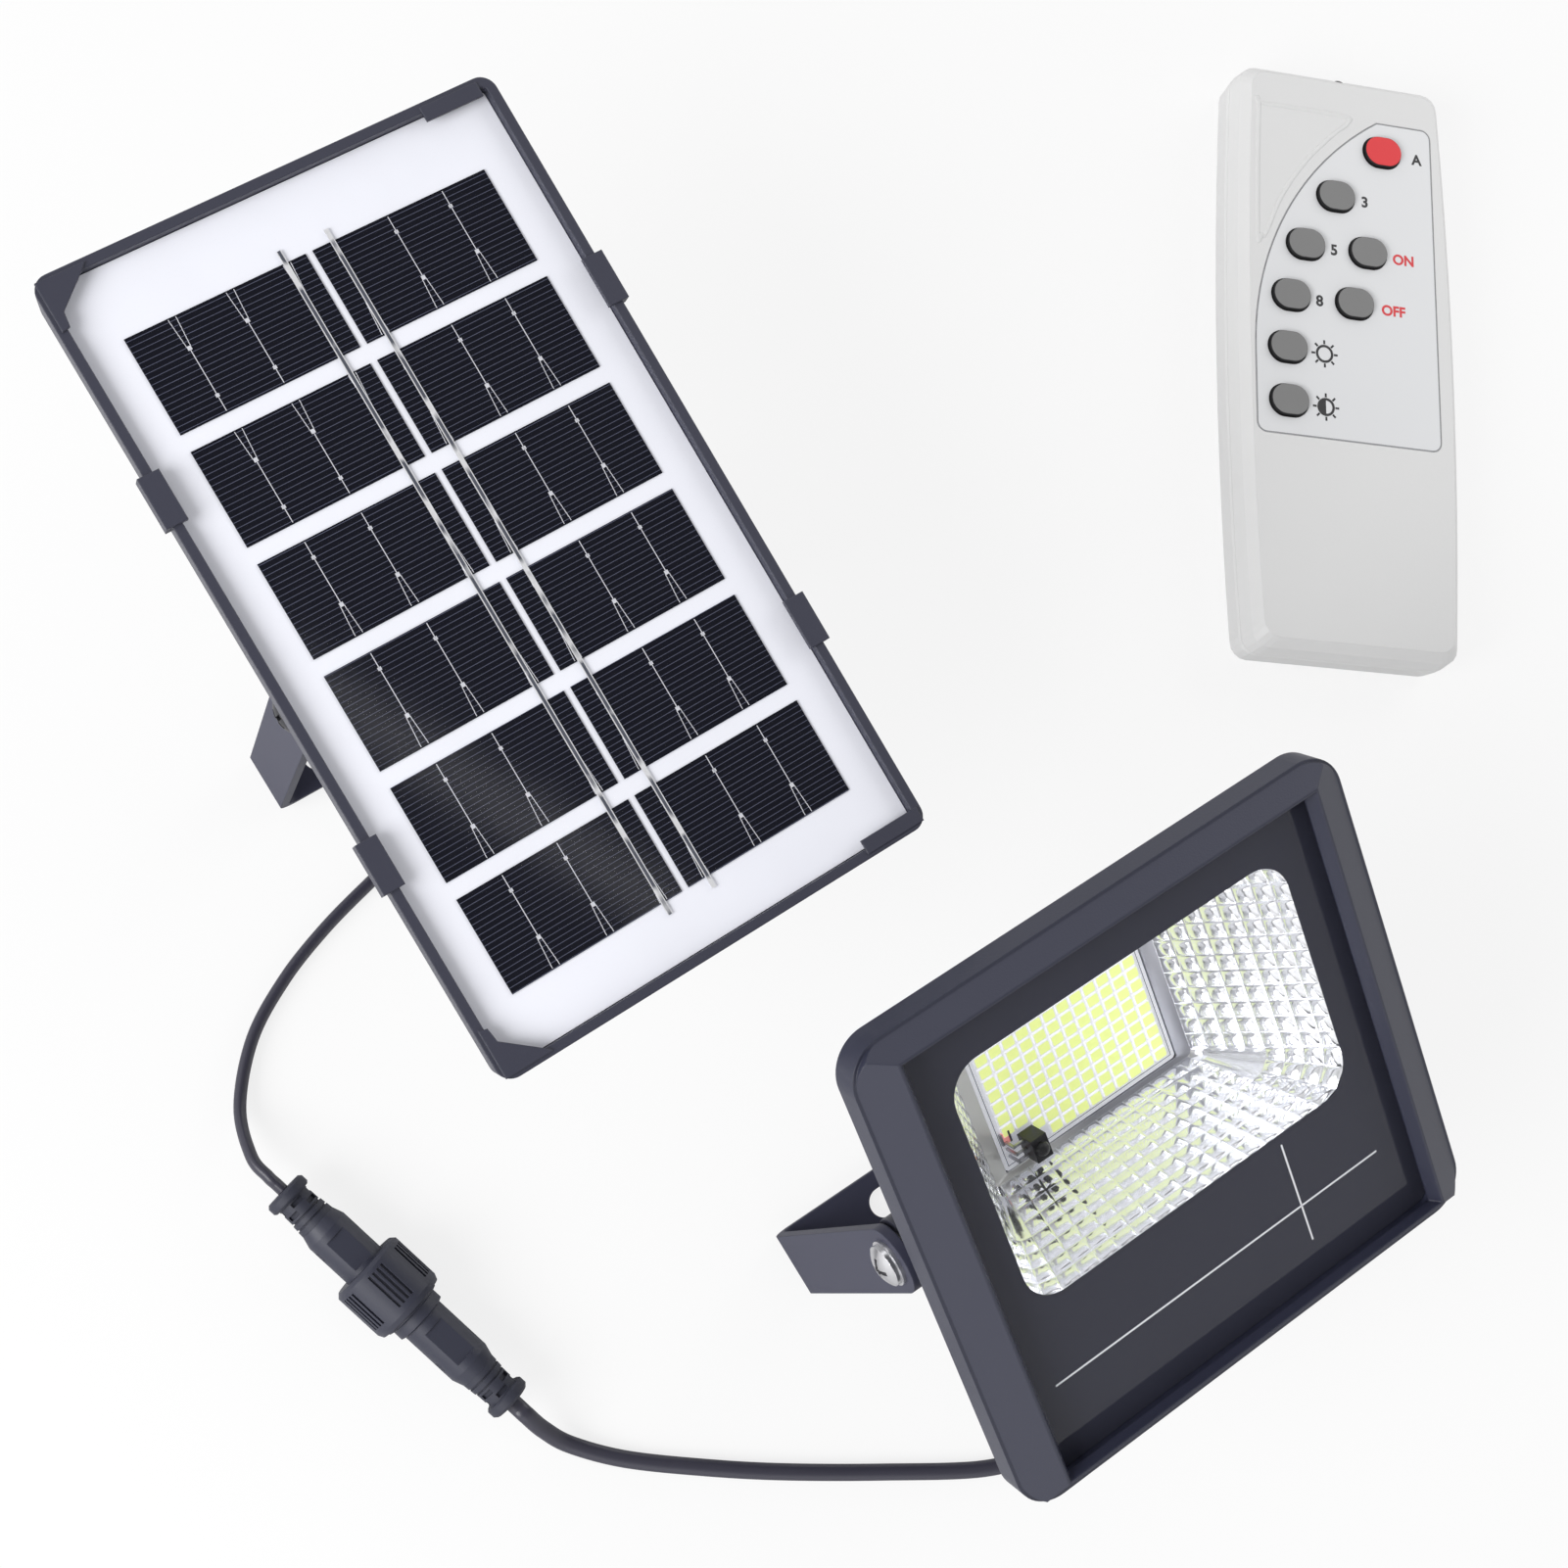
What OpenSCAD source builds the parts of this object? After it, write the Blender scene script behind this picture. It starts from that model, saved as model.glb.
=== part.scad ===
// Solar flood light: a lamp head and a solar panel, each tilting on its own
// U bracket, joined by a lead with a screw-locked connector, and a hand remote.
// Millimetres. The origin is the centre of the middle hole in the lamp bracket,
// on the mounting face. +X runs along both tilt axes, +Z leaves the mounting face.

/* [Lamp head] */
// Width of the bezel, along the tilt axis.
bezel_w = 140; // [138:1:150]
// Height of the bezel, up the lamp's face.
bezel_h = 131; // [126:1:140]
// Corner radius of the bezel.
bezel_r = 10; // [6:1:14]
// Thickness of the front glass.
glass_t = 3; // [2:0.5:4]
// Width of the clear window in the glass print.
window_w = 98; // [86:1:104]
// Height of the clear window in the glass print.
window_h = 65.5; // [54:0.5:68]
// Columns of LED chips.
led_cols = 12; // [6:1:12]
// Rows of LED chips.
led_rows = 13; // [6:1:13]
// Height of the cooling fins behind the housing.
fin_h = 4; // [2:0.5:7]

/* [Lamp bracket] */
// Height of the tilt axis above the mounting face.
lamp_pivot_h = 86; // [84:1:110]
// Lean of the lamp's face back from level, at rest.
lamp_lean = 26.5; // [0:0.5:45]
// Width of the lamp bracket's strip.
lamp_strip_w = 17; // [16:1:22]
// Thickness of both brackets' strip.
strip_t = 2.5; // [2:0.25:3]
// Length of each slot in the lamp bracket.
lamp_slot_l = 22; // [12:1:26]
// Width of each slot in the lamp bracket.
lamp_slot_w = 8; // [5:0.5:9]
// Diameter of the middle hole in the lamp bracket.
lamp_hole_d = 10; // [6:0.5:11]

/* [Solar panel] */
// Width of the panel, along its tilt axis.
panel_w = 116; // [114:1:130]
// Length of the panel.
panel_l = 200; // [196:1:220]
// Width of one solar cell.
cell_w = 45; // [38:1:48]
// Length of one solar cell.
cell_l = 24; // [18:1:26]
// Lean of the panel from level, at rest.
panel_lean = 3; // [0:0.5:25]

/* [Panel bracket] */
// Height of the panel's tilt axis above the mounting face.
panel_pivot_h = 85; // [80:1:100]
// Width of the panel bracket's strip.
panel_strip_w = 15; // [14:1:17]
// Length of each slot in the panel bracket.
panel_slot_l = 20; // [12:1:24]
// Width of each slot in the panel bracket.
panel_slot_w = 7; // [5:0.5:8]

/* [Lead and connector] */
// Diameter of the lead.
lead_d = 4.4; // [3.6:0.1:4.8]
// Outer diameter of the connector's coupling ring.
ring_d = 20; // [19:0.5:24]

/* [Remote] */
// Width of the remote at its middle.
remote_w = 71; // [68:1:76]
// Length of the remote.
remote_l = 180; // [176:1:190]
// Width of a remote button.
button_w = 11.6; // [9:0.2:12]
// Height of a remote button.
button_h = 9; // [7:0.2:10]

/* [Hidden] */
$fn = 48;

// Lamp head, in its own frame: x along the tilt axis, y up the face, z out of the face.
ridge_z = 24.8;
band_z = 19.8;
face_y = -1.8;
glass_z = 21.5;
print_t = 0.3;
seal_t = 1.5;
reflector_t = 1;
print_z = glass_z - glass_t;
seal_z = print_z - print_t;
rim_z = seal_z - seal_t;
flange_z = rim_z - reflector_t;
flange_t = 3;
flange_back = flange_z - flange_t;
skirt_z = flange_back - 0.3;
ridge_w = bezel_w - 21;
ridge_h = bezel_h - 12;
slope_w = (bezel_w - ridge_w - 2.8) / (ridge_z - band_z);
slope_h = (bezel_h - ridge_h - 2.8) / (ridge_z - band_z);
glass_w = bezel_w - 20;
glass_h = bezel_h - 9.5;
skirt_w = bezel_w - 5;
skirt_h = bezel_h - 5;
body_w = bezel_w - 20;
body_h = bezel_h - 14;
back_z = -24.5;
floor_z = -21.6;
board_t = 1.6;
board_w = 54;
board_h = 47.4;
board_y = 11.4;
chip_y = 12;
board_z = floor_z + board_t;
window_y = 12.4;
bezel_screw_x = bezel_w / 2 - 5.4;
bezel_screw_y = bezel_h / 2 - 13;
chip_w = 3.5;
chip_h = 2.8;
chip_t = 0.8;
chip_dx = 4.18;
chip_dy = 3.45;
cell_d = 26;
cell_len = 65.5;
battery_y = -36;
battery_z = -6;
lamp_arm_in = bezel_w / 2 - 2.5;
lamp_arm_out = lamp_arm_in + strip_t;
washer_t = 1;
lamp_pin_r = 3;
lamp_boss_r = 9;
gland_x = -20;
gland_y = -38;
gland_l = 14;

// Reflector: rings of points from the board up to the window.
tile_rows = 8;
tiles_x = 14;
tiles_y = 10;
turn_steps = 2;
ring_n = 2 * (tiles_x + tiles_y) + 4 * turn_steps;
shell_t = 1.2;
tile_bump = 0.5;
floor_hw = 30;
floor_hh = 25.7;
floor_y = 10.2;
mouth_hw = window_w / 2 + 0.8;
mouth_hh = window_h / 2 + 0.6;

// Housing: the pocket behind the reflector, and the back that closes it.
pocket_top = floor_y + floor_hh + shell_t + 0.3;
pocket_foot = 16.8;
pocket_bot = pocket_foot - bezel_h / 2 + face_y;
pocket_y = (pocket_top + pocket_bot) / 2;
pocket_h = pocket_top - pocket_bot;
board_gap = 1.8;
control_w = 11;
control_l = 46;
control_side = 1.5;
pocket_w = 2 * (floor_hw + shell_t + board_gap + control_w + control_side);
back_w = pocket_w + 4;
back_h = pocket_h - 0.5;
back_y = pocket_y - 0.8;

// Panel, in its own frame: x along the tilt axis, y along the panel, z out of the glass.
panel_x = -69;
panel_y = 176;
panel_mid = 5.4;
rim_top = 19;
panel_glass_z = 18.6;
panel_glass_t = 2;
cell_z = panel_glass_z - panel_glass_t;
cell_t = 0.3;
sheet_z = cell_z - cell_t;
sheet_t = 1;
ledge_z = sheet_z - sheet_t;
panel_back = 9;
pan_t = 2;
rim_w = 2.3;
tab_lap = 1.4;
tab_out = 1.6;
laminate_w = panel_w - 2 * rim_w - 0.4;
laminate_l = panel_l - 2 * rim_w - 0.4;
col_gap = 1.8;
row_gap = 4.2;
field_y = 3.75;
ribbon_w = 1.2;
ribbon_t = 0.2;
ribbon_x = 6;
panel_arm_out = panel_w / 2 - 5;
panel_arm_in = panel_arm_out - strip_t;
panel_lug_out = panel_arm_in - washer_t;
panel_lug_in = panel_lug_out - 5;
panel_pin_r = 2.5;
lug_r = 8;
nut_t = 4;
screw_out = 1;
nut_gap = 4.5;
box_w = 60;
box_l = 44;
box_x = box_w / 2 + nut_gap + screw_out + nut_t - panel_lug_in;
box_z = -5;
panel_gland_x = -10;
panel_gland_z = 2;

// Connector: s runs along its axis from the plug boot's end face.
con_x = -170.5;
con_y = 85.7;
con_yaw = -74.3;
con_z = ring_d / 2 + 0.1;
con_l = 76.4;
boot_l = 11.4;
body_r = 5.9;
ring_s0 = 27;
ring_s1 = 42.4;
face_s = 31.5;

// Lead: round-number points, then smooth rings between them.
lead_r = lead_d / 2;
lead_z = lead_r + 0.05;
lead_sides = 10;
con_dir = [cos(con_yaw), sin(con_yaw), 0];
plug_end = [con_x, con_y, con_z];
socket_end = plug_end + con_l * con_dir;
lamp_out = [0, sin(lamp_lean), -cos(lamp_lean)];
lamp_exit = lamp_point([gland_x, gland_y, back_z - gland_l]);
panel_out = [0, -cos(panel_lean), -sin(panel_lean)];
panel_exit = panel_point([panel_gland_x, -box_l / 2 - gland_l, panel_gland_z]);
panel_path = [
  panel_exit, panel_exit + 2.5 * panel_out, panel_exit + 5 * panel_out,
  panel_exit + [0.4, -10.4, -6],
  [-78, 127.5, 0.79 * panel_exit[2]], [-77.5, 128.5, 0.61 * panel_exit[2]],
  [-77, 130, 0.42 * panel_exit[2]], [-77.3, 132.5, 0.235 * panel_exit[2]],
  [-80.5, 137.5, 0.095 * panel_exit[2]],
  [-89, 142.5, 3], [-101, 143.2, lead_z], [-115, 140.2, lead_z],
  [-129, 136.2, lead_z], [-143.2, 130.5, lead_z], [-157.2, 121.9, lead_z],
  [-168.4, 109, 3.4], [-172.6, 97, 8], plug_end - 5 * con_dir,
  plug_end - 2.5 * con_dir, plug_end
];
lamp_path = [
  socket_end, socket_end + 2.5 * con_dir, socket_end + 5 * con_dir,
  [-146.3, 1.5, 7], [-142, -6, 3.6],
  [-132, -17, lead_z], [-116, -30.2, lead_z], [-99.7, -42.4, lead_z],
  [-78, -57.1, lead_z], [-54, -72.2, lead_z], [-41.8, -75.2, lead_z],
  [-29.4, -69.4, lead_z], [-23.5, -55.3, lead_z], [-23, -43, lead_z],
  [-22.5, -31, 2.9], [-21.5, -20.5, 7.5], [-20.5, -13.5, 17],
  lamp_exit + 6 * lamp_out, lamp_exit + 3 * lamp_out, lamp_exit
];
panel_split = 10;
lamp_split = 13;

// Remote, in its own frame: x across it, y towards its emitter end, z out of its keys.
remote_x = 211;
remote_y = 129;
remote_yaw = -34;
remote_t = 20;
part_z = 10;
remote_bulge = 2.7;
roof_z = 17.8;
plate_t = 0.5;
plate_l = -31.1;
plate_r = 28.2;
plate_top = 76;
plate_bot = -26.1;
plate_arc_x = 59.2;
plate_arc_r = 90.3;
pcb_w = 56;
pcb_end = 8;
pcb_foot = -22;
pcb_l = remote_l / 2 - pcb_end - pcb_foot;
pcb_y = (remote_l / 2 - pcb_end + pcb_foot) / 2;
pcb_z = 11.4;
pcb_t = 1.6;
key_top = 21.3;
key_flange_z = 16.5;
aaa_r = 5.25;
aaa_l = 44.5;
bay_y = 36 - remote_l / 2;
cover_l = 60;
cover_w = 28;

auto_at = [11.8, 66.5];
time_a_at = [-4, 50.1];
time_b_at = [-14.3, 33.5];
on_at = [6, 33.5];
time_c_at = [-19.4, 16.9];
off_at = [1.1, 16.9];
bright_at = [-20.9, 0.6];
dim_at = [-20.9, -15.8];
KEYS = [auto_at, time_a_at, time_b_at, on_at, time_c_at, off_at, bright_at, dim_at];

black = [0.09, 0.09, 0.1];
grey = [0.3, 0.3, 0.33];
steel = [0.75, 0.75, 0.77];
pcb_white = [0.92, 0.93, 0.95];
pcb_green = [0.1, 0.35, 0.2];
shell_white = [0.88, 0.88, 0.87];

function unit(v) = v / norm(v);

function lamp_point(p) = [
  p[0],
  p[1] * cos(lamp_lean) - p[2] * sin(lamp_lean),
  lamp_pivot_h + p[1] * sin(lamp_lean) + p[2] * cos(lamp_lean)
];

function panel_point(p) = [
  panel_x + p[0],
  panel_y + p[1] * cos(panel_lean) - p[2] * sin(panel_lean),
  panel_pivot_h + p[1] * sin(panel_lean) + p[2] * cos(panel_lean)
];

// One point of a smooth curve through a, b, c and d, at t of the way from b to c.
function curve(a, b, c, d, t) =
  b + t * (c - a) / 2
  + t * t * (2 * a - 5 * b + 4 * c - d) / 2
  + t * t * t * (3 * b - 3 * c + d - a) / 2;

function before(p) = 2 * p[0] - p[1];

function after(p) = 2 * p[len(p) - 1] - p[len(p) - 2];

// The smooth line through the points, two steps to each gap.
function smooth(p) = [
  for (i = [0 : len(p) - 2], t = [0, 0.5])
    curve(i == 0 ? before(p) : p[i - 1], p[i], p[i + 1],
      i == len(p) - 2 ? after(p) : p[i + 2], t),
  p[len(p) - 1]
];

function heading(q, i) =
  i == 0 ? unit(q[1] - q[0]) :
  i == len(q) - 1 ? unit(q[i] - q[i - 1]) :
  unit(q[i + 1] - q[i - 1]);

// A side direction carried along the line without twist.
function carried(h, i, u) = i >= len(h) ? [] :
  let (v = unit(u - (u * h[i]) * h[i])) concat([v], carried(h, i + 1, v));

function lead_rings(q) =
  let (h = [for (i = [0 : len(q) - 1]) heading(q, i)])
  let (u = carried(h, 0, cross(h[0], [0.6, -0.8, 0.1])))
  [for (i = [0 : len(q) - 1]) [
    for (k = [0 : lead_sides - 1])
      q[i] + lead_r * (cos(k * 360 / lead_sides) * u[i]
        + sin(k * 360 / lead_sides) * cross(h[i], u[i]))
  ]];

function flat(rows) = [for (r = rows) for (p = r) p];

module tube(rings) {
  m = len(rings);
  n = lead_sides;
  polyhedron(
    points = flat(rings),
    faces = concat(
      [[for (k = [0 : n - 1]) k]],
      [[for (k = [n - 1 : -1 : 0]) (m - 1) * n + k]],
      [for (i = [0 : m - 2], k = [0 : n - 1])
        [i * n + k, (i + 1) * n + k, i * n + (k + 1) % n]],
      [for (i = [0 : m - 2], k = [0 : n - 1])
        [i * n + (k + 1) % n, (i + 1) * n + k, (i + 1) * n + (k + 1) % n]]
    ),
    convexity = 6
  );
}

module lead_part(path, first, last) {
  rings = lead_rings(smooth(path));
  tube([for (i = [2 * first : 2 * last]) rings[i]]);
}

module at_lamp() translate([0, 0, lamp_pivot_h]) rotate([lamp_lean, 0, 0]) children();

module at_panel() translate([panel_x, panel_y, panel_pivot_h])
  rotate([panel_lean, 0, 0]) children();

module at_connector() translate([con_x, con_y, con_z])
  rotate([0, 0, con_yaw]) rotate([0, 90, 0]) children();

module at_remote() translate([remote_x, remote_y, 0])
  rotate([0, 0, remote_yaw]) children();

module both() {
  children();
  mirror([1, 0, 0]) children();
}

module rounded(w, h, r) {
  square([w - 2 * r, h], center = true);
  square([w, h - 2 * r], center = true);
  for (x = [-1, 1], y = [-1, 1])
    translate([x * (w / 2 - r), y * (h / 2 - r)]) circle(r = r);
}

module plate(w, h, r, z0, z1) translate([0, 0, z0])
  linear_extrude(z1 - z0) rounded(w, h, r);

module slot(l, w, z0, z1) translate([0, 0, z0]) linear_extrude(z1 - z0) {
  square([l - w, w], center = true);
  for (x = [-1, 1]) translate([x * (l - w) / 2, 0]) circle(r = w / 2);
}

// A block with four sloping sides, w0 by h0 at z0 and w1 by h1 at z1.
module frustum(w0, h0, z0, w1, h1, z1) polyhedron(
  points = [
    [-w0 / 2, -h0 / 2, z0], [w0 / 2, -h0 / 2, z0], [w0 / 2, h0 / 2, z0],
    [-w0 / 2, h0 / 2, z0], [-w1 / 2, -h1 / 2, z1], [w1 / 2, -h1 / 2, z1],
    [w1 / 2, h1 / 2, z1], [-w1 / 2, h1 / 2, z1]
  ],
  faces = [[0, 1, 2, 3], [7, 6, 5, 4], [4, 5, 1, 0], [5, 6, 2, 1], [6, 7, 3, 2],
    [7, 4, 0, 3]]
);

module lamp_bezel() color(black) at_lamp() translate([0, face_y, 0]) difference() {
  union() {
    plate(bezel_w, bezel_h, bezel_r, skirt_z, band_z);
    intersection() {
      plate(bezel_w - 1.6, bezel_h - 1.6, bezel_r - 0.8, band_z - 1, ridge_z);
      frustum(bezel_w - 1.6 + slope_w, bezel_h - 1.6 + slope_h, band_z - 1,
        ridge_w + 1.2, ridge_h + 1.2, ridge_z);
    }
  }
  frustum(ridge_w - 3.4, ridge_h - 0.4, glass_z - 0.01, ridge_w, ridge_h,
    ridge_z + 0.01);
  plate(glass_w + 0.6, glass_h + 0.6, 3.3, skirt_z - 1, glass_z);
  plate(skirt_w, skirt_h, bezel_r - 2.5, skirt_z - 1, flange_z);
  for (x = [-1, 1], y = [-1, 1])
    translate([x * bezel_screw_x, y * bezel_screw_y, flange_z - 1])
      cylinder(r = 1.25, h = 5);
}

module lamp_glass() color([0.75, 0.85, 0.9, 0.35]) at_lamp() translate([0, face_y, 0])
  plate(glass_w, glass_h, 3, print_z, glass_z);

module glass_print() color([0.03, 0.03, 0.03]) at_lamp() difference() {
  translate([0, face_y, 0]) plate(glass_w, glass_h, 3, seal_z, print_z);
  translate([0, window_y, 0])
    plate(window_w, window_h, 9, seal_z - 1, print_z + 1);
}

module glass_seal() color([0.15, 0.15, 0.16]) at_lamp() translate([0, face_y, 0])
difference() {
  plate(glass_w, glass_h, 3, rim_z, seal_z);
  plate(glass_w - 7, glass_h - 7, 2, rim_z - 1, seal_z + 1);
}

// The ring of points round one level: corner turns, then the sides between them.
function turn(q, hw, hh, r, k) =
  let (a = 90 * q + 90 * k / turn_steps)
  [(q == 0 || q == 3 ? 1 : -1) * (hw - r) + r * cos(a),
    (q < 2 ? 1 : -1) * (hh - r) + r * sin(a)];

function side_n(q) = q % 2 == 0 ? tiles_x : tiles_y;

function level(hw, hh, r, y, z) = [
  for (q = [0 : 3]) each concat(
    [for (k = [0 : turn_steps]) let (p = turn(q, hw, hh, r, k)) [p[0], p[1] + y, z]],
    let (a = turn(q, hw, hh, r, turn_steps))
    let (b = turn((q + 1) % 4, hw, hh, r, 0))
    [for (k = [1 : side_n(q) - 1])
      let (p = a + (b - a) * k / side_n(q)) [p[0], p[1] + y, z]]
  )
];

function wall_level(t, out, z) = level(
  floor_hw + (mouth_hw - floor_hw) * t + out,
  floor_hh + (mouth_hh - floor_hh) * t + out,
  1.5 + 7.5 * t + out,
  floor_y + (window_y - floor_y) * t, z);

function tile_mid(a, b, c, d, y) =
  let (p = (a + b + c + d) / 4)
  let (v = [-p[0], y - p[1]])
  [p[0] + tile_bump * v[0] / norm(v), p[1] + tile_bump * v[1] / norm(v), p[2]];

module reflector() {
  z0 = board_z + 0.5;
  inner = [for (i = [0 : tile_rows])
    wall_level(i / tile_rows, 0, z0 + (rim_z - z0) * i / tile_rows)];
  back = [
    level(glass_w / 2, glass_h / 2, 3, face_y, rim_z),
    level(glass_w / 2, glass_h / 2, 3, face_y, flange_z),
    wall_level(1, shell_t, flange_z),
    wall_level(0, shell_t, z0 - 1),
    level(board_w / 2 + 0.3, board_h / 2 + 0.3, 0.5, board_y, z0 - 1),
    level(board_w / 2 + 0.3, board_h / 2 + 0.3, 0.5, board_y, z0)
  ];
  rings = concat(inner, back);
  m = len(rings);
  n = ring_n;
  mids = [for (i = [0 : tile_rows - 1], k = [0 : n - 1])
    tile_mid(inner[i][k], inner[i][(k + 1) % n], inner[i + 1][(k + 1) % n],
      inner[i + 1][k], floor_y)];
  color([0.86, 0.87, 0.9]) at_lamp() polyhedron(
    points = concat(flat(rings), mids),
    faces = concat(
      [for (i = [0 : tile_rows - 1], k = [0 : n - 1]) each let (
        a = i * n + k,
        b = i * n + (k + 1) % n,
        c = (i + 1) * n + (k + 1) % n,
        d = (i + 1) * n + k,
        e = m * n + i * n + k
      ) [[b, a, e], [c, b, e], [d, c, e], [a, d, e]]],
      [for (i = [tile_rows : m - 1], k = [0 : n - 1]) each let (
        j = (i + 1) % m,
        a = i * n + k,
        b = i * n + (k + 1) % n,
        c = j * n + (k + 1) % n,
        d = j * n + k
      ) [[b, a, d], [c, b, d]]]
    ),
    convexity = 8
  );
}

module led_board() color(pcb_white) at_lamp() translate([0, board_y, 0])
  plate(board_w, board_h, 1, floor_z, board_z);

function has_chip(i, j) = !(j == 0 && i < 3) && !(j == 1 && i < 2);

module led_chips() color([0.9, 1, 0.35]) at_lamp()
  for (i = [0 : led_cols - 1], j = [0 : led_rows - 1])
    if (has_chip(i, j))
      translate([
        (i - (led_cols - 1) / 2) * chip_dx - chip_w / 2,
        chip_y + (j - (led_rows - 1) / 2) * chip_dy - chip_h / 2,
        board_z
      ]) cube([chip_w, chip_h, chip_t]);

module ir_receiver() color(black) at_lamp()
  translate([-19.6, board_y - board_h / 2 + 5.7, board_z]) {
    translate([-2.2, -3.2, 2]) cube([4.6, 6.4, 6]);
    translate([0.1, 0, 8]) sphere(r = 1.9);
    for (y = [-2.2, 0, 2.2]) {
      translate([-5.2, y - 0.25, 4]) cube([3.2, 0.5, 0.5]);
      translate([-5.2, y - 0.25, 0]) cube([0.5, 0.5, 4.2]);
    }
  }

module battery_bore() translate([0, battery_y, battery_z]) rotate([0, 90, 0])
  cylinder(r = cell_d / 2 + 0.1, h = cell_len + 4, center = true);

module lamp_housing() color(black) at_lamp() difference() {
  union() {
    difference() {
      union() {
        translate([0, face_y, 0])
          plate(skirt_w - 0.6, skirt_h - 0.6, bezel_r - 2.8, flange_back, flange_z);
        hull() {
          translate([0, face_y, 0])
            plate(body_w, body_h, 8, flange_back - 0.5, flange_back, $fn = 32);
          translate([0, pocket_y, 0])
            plate(pocket_w + 6, pocket_h + 3.4, 7, floor_z - 0.4, floor_z + 0.6, $fn = 32);
          translate([0, back_y, 0]) plate(back_w, back_h, 6, back_z, back_z + 1, $fn = 32);
        }
        for (i = [-5 : 5])
          translate([i * 8 - 0.8, back_y - back_h / 2 + 4, back_z - fin_h])
            cube([1.6, back_h - 8, fin_h + 1]);
        both() translate([lamp_arm_in - washer_t, 0, 0]) rotate([0, -90, 0])
          cylinder(r = lamp_boss_r, h = 20);
      }
      hull() {
        translate([0, face_y, 0])
          plate(body_w - 3, body_h - 5, 5, flange_z, flange_z + 0.5, $fn = 32);
        translate([0, pocket_y, 0])
          plate(pocket_w, pocket_h, 5, floor_z, floor_z + 1.2, $fn = 32);
      }
      translate([gland_x, gland_y, back_z - fin_h - 1]) cylinder(r = 9.5, h = fin_h + 1);
    }
    for (x = [-1, 1]) translate([x * 27 - 1.5, -48, floor_z - 0.5]) cube([3, 25, 14]);
  }
  battery_bore();
  translate([gland_x, gland_y, back_z - 1]) cylinder(r = 5, h = 8);
  both() translate([lamp_arm_in, 0, 0]) rotate([0, -90, 0])
    cylinder(r = lamp_pin_r, h = 14);
  for (x = [-1, 1], y = [-1, 1])
    translate([x * bezel_screw_x, face_y + y * bezel_screw_y, flange_back - 1])
      cylinder(r = 1.6, h = flange_t + 2);
}

module lamp_battery() color([0.2, 0.35, 0.6]) at_lamp()
  translate([0, battery_y, battery_z]) rotate([0, 90, 0]) {
    cylinder(r = cell_d / 2, h = cell_len, center = true);
    translate([0, 0, cell_len / 2]) cylinder(r = 4, h = 1.2);
  }

module control_board() color(pcb_green) at_lamp()
  translate([pocket_w / 2 - control_side - control_w / 2, 8, floor_z]) {
  translate([-control_w / 2, -control_l / 2, 0]) cube([control_w, control_l, board_t]);
  translate([1.5, -16, board_t]) cylinder(r = 3, h = 7);
  translate([-1.5, -6, board_t]) cube([6, 6, 4]);
  translate([-2, 6, board_t]) cube([5, 4, 1.5]);
  translate([-2, 15, board_t]) cube([6, 5, 4]);
}

// A hexagon nut, a round cap and a tapered nose, pointing down its own -z.
module gland_shape(stem) {
  cylinder(r = 4.95, h = stem);
  translate([0, 0, -4.5]) cylinder(r = 8, h = 4.5, $fn = 6);
  translate([0, 0, -10.5]) cylinder(r = 6.4, h = 6);
  translate([0, 0, -gland_l]) cylinder(r1 = 4, r2 = 6.4, h = gland_l - 10.5);
}

module lamp_gland() color(black) at_lamp() translate([gland_x, gland_y, back_z])
  gland_shape(floor_z - back_z);

module bezel_screws() color(steel) at_lamp()
  for (x = [-1, 1], y = [-1, 1])
    translate([x * bezel_screw_x, face_y + y * bezel_screw_y, flange_back]) difference() {
      union() {
        cylinder(r = 1.25, h = flange_t + 4);
        translate([0, 0, -1.8]) cylinder(r = 2.5, h = 1.8);
      }
      translate([-1.5, -0.3, -2]) cube([3, 0.6, 1]);
      translate([-0.3, -1.5, -2]) cube([0.6, 3, 1]);
    }

// A pan head screw along +z with its head's seat at z = 0 and its shank below.
module pan_screw(r, shank, head_r, head_h) difference() {
  union() {
    translate([0, 0, -shank]) cylinder(r = r, h = shank + 0.5);
    intersection() {
      cylinder(r = head_r, h = head_h);
      translate([0, 0, head_h - head_r * 1.6]) sphere(r = head_r * 1.6);
    }
  }
  translate([-head_r * 0.6, -0.6, head_h - 2]) cube([head_r * 1.2, 1.2, 3]);
  translate([-0.6, -head_r * 0.6, head_h - 2]) cube([1.2, head_r * 1.2, 3]);
}

module ring_plate(outer, inner, t) difference() {
  cylinder(r = outer, h = t);
  translate([0, 0, -1]) cylinder(r = inner, h = t + 2);
}

module lamp_pivot_screws() color(steel) at_lamp() both()
  translate([lamp_arm_out + washer_t, 0, 0]) rotate([0, 90, 0])
    pan_screw(lamp_pin_r, lamp_arm_out - lamp_arm_in + 12, 5.2, 3);

module lamp_pivot_washers() color(steel) at_lamp() both() {
  translate([lamp_arm_in - washer_t, 0, 0]) rotate([0, 90, 0])
    ring_plate(5.8, lamp_pin_r, washer_t);
  translate([lamp_arm_out, 0, 0]) rotate([0, 90, 0])
    ring_plate(5.8, lamp_pin_r, washer_t);
}

// The outline of a U, seen along its strip, with its bends rounded.
module u_outline(half, r, top) {
  translate([-half, r]) square([2 * half, top - r]);
  translate([-half + r, 0]) square([2 * (half - r), r + 1]);
  for (x = [-1, 1]) translate([x * (half - r), r]) circle(r = r);
}

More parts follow.
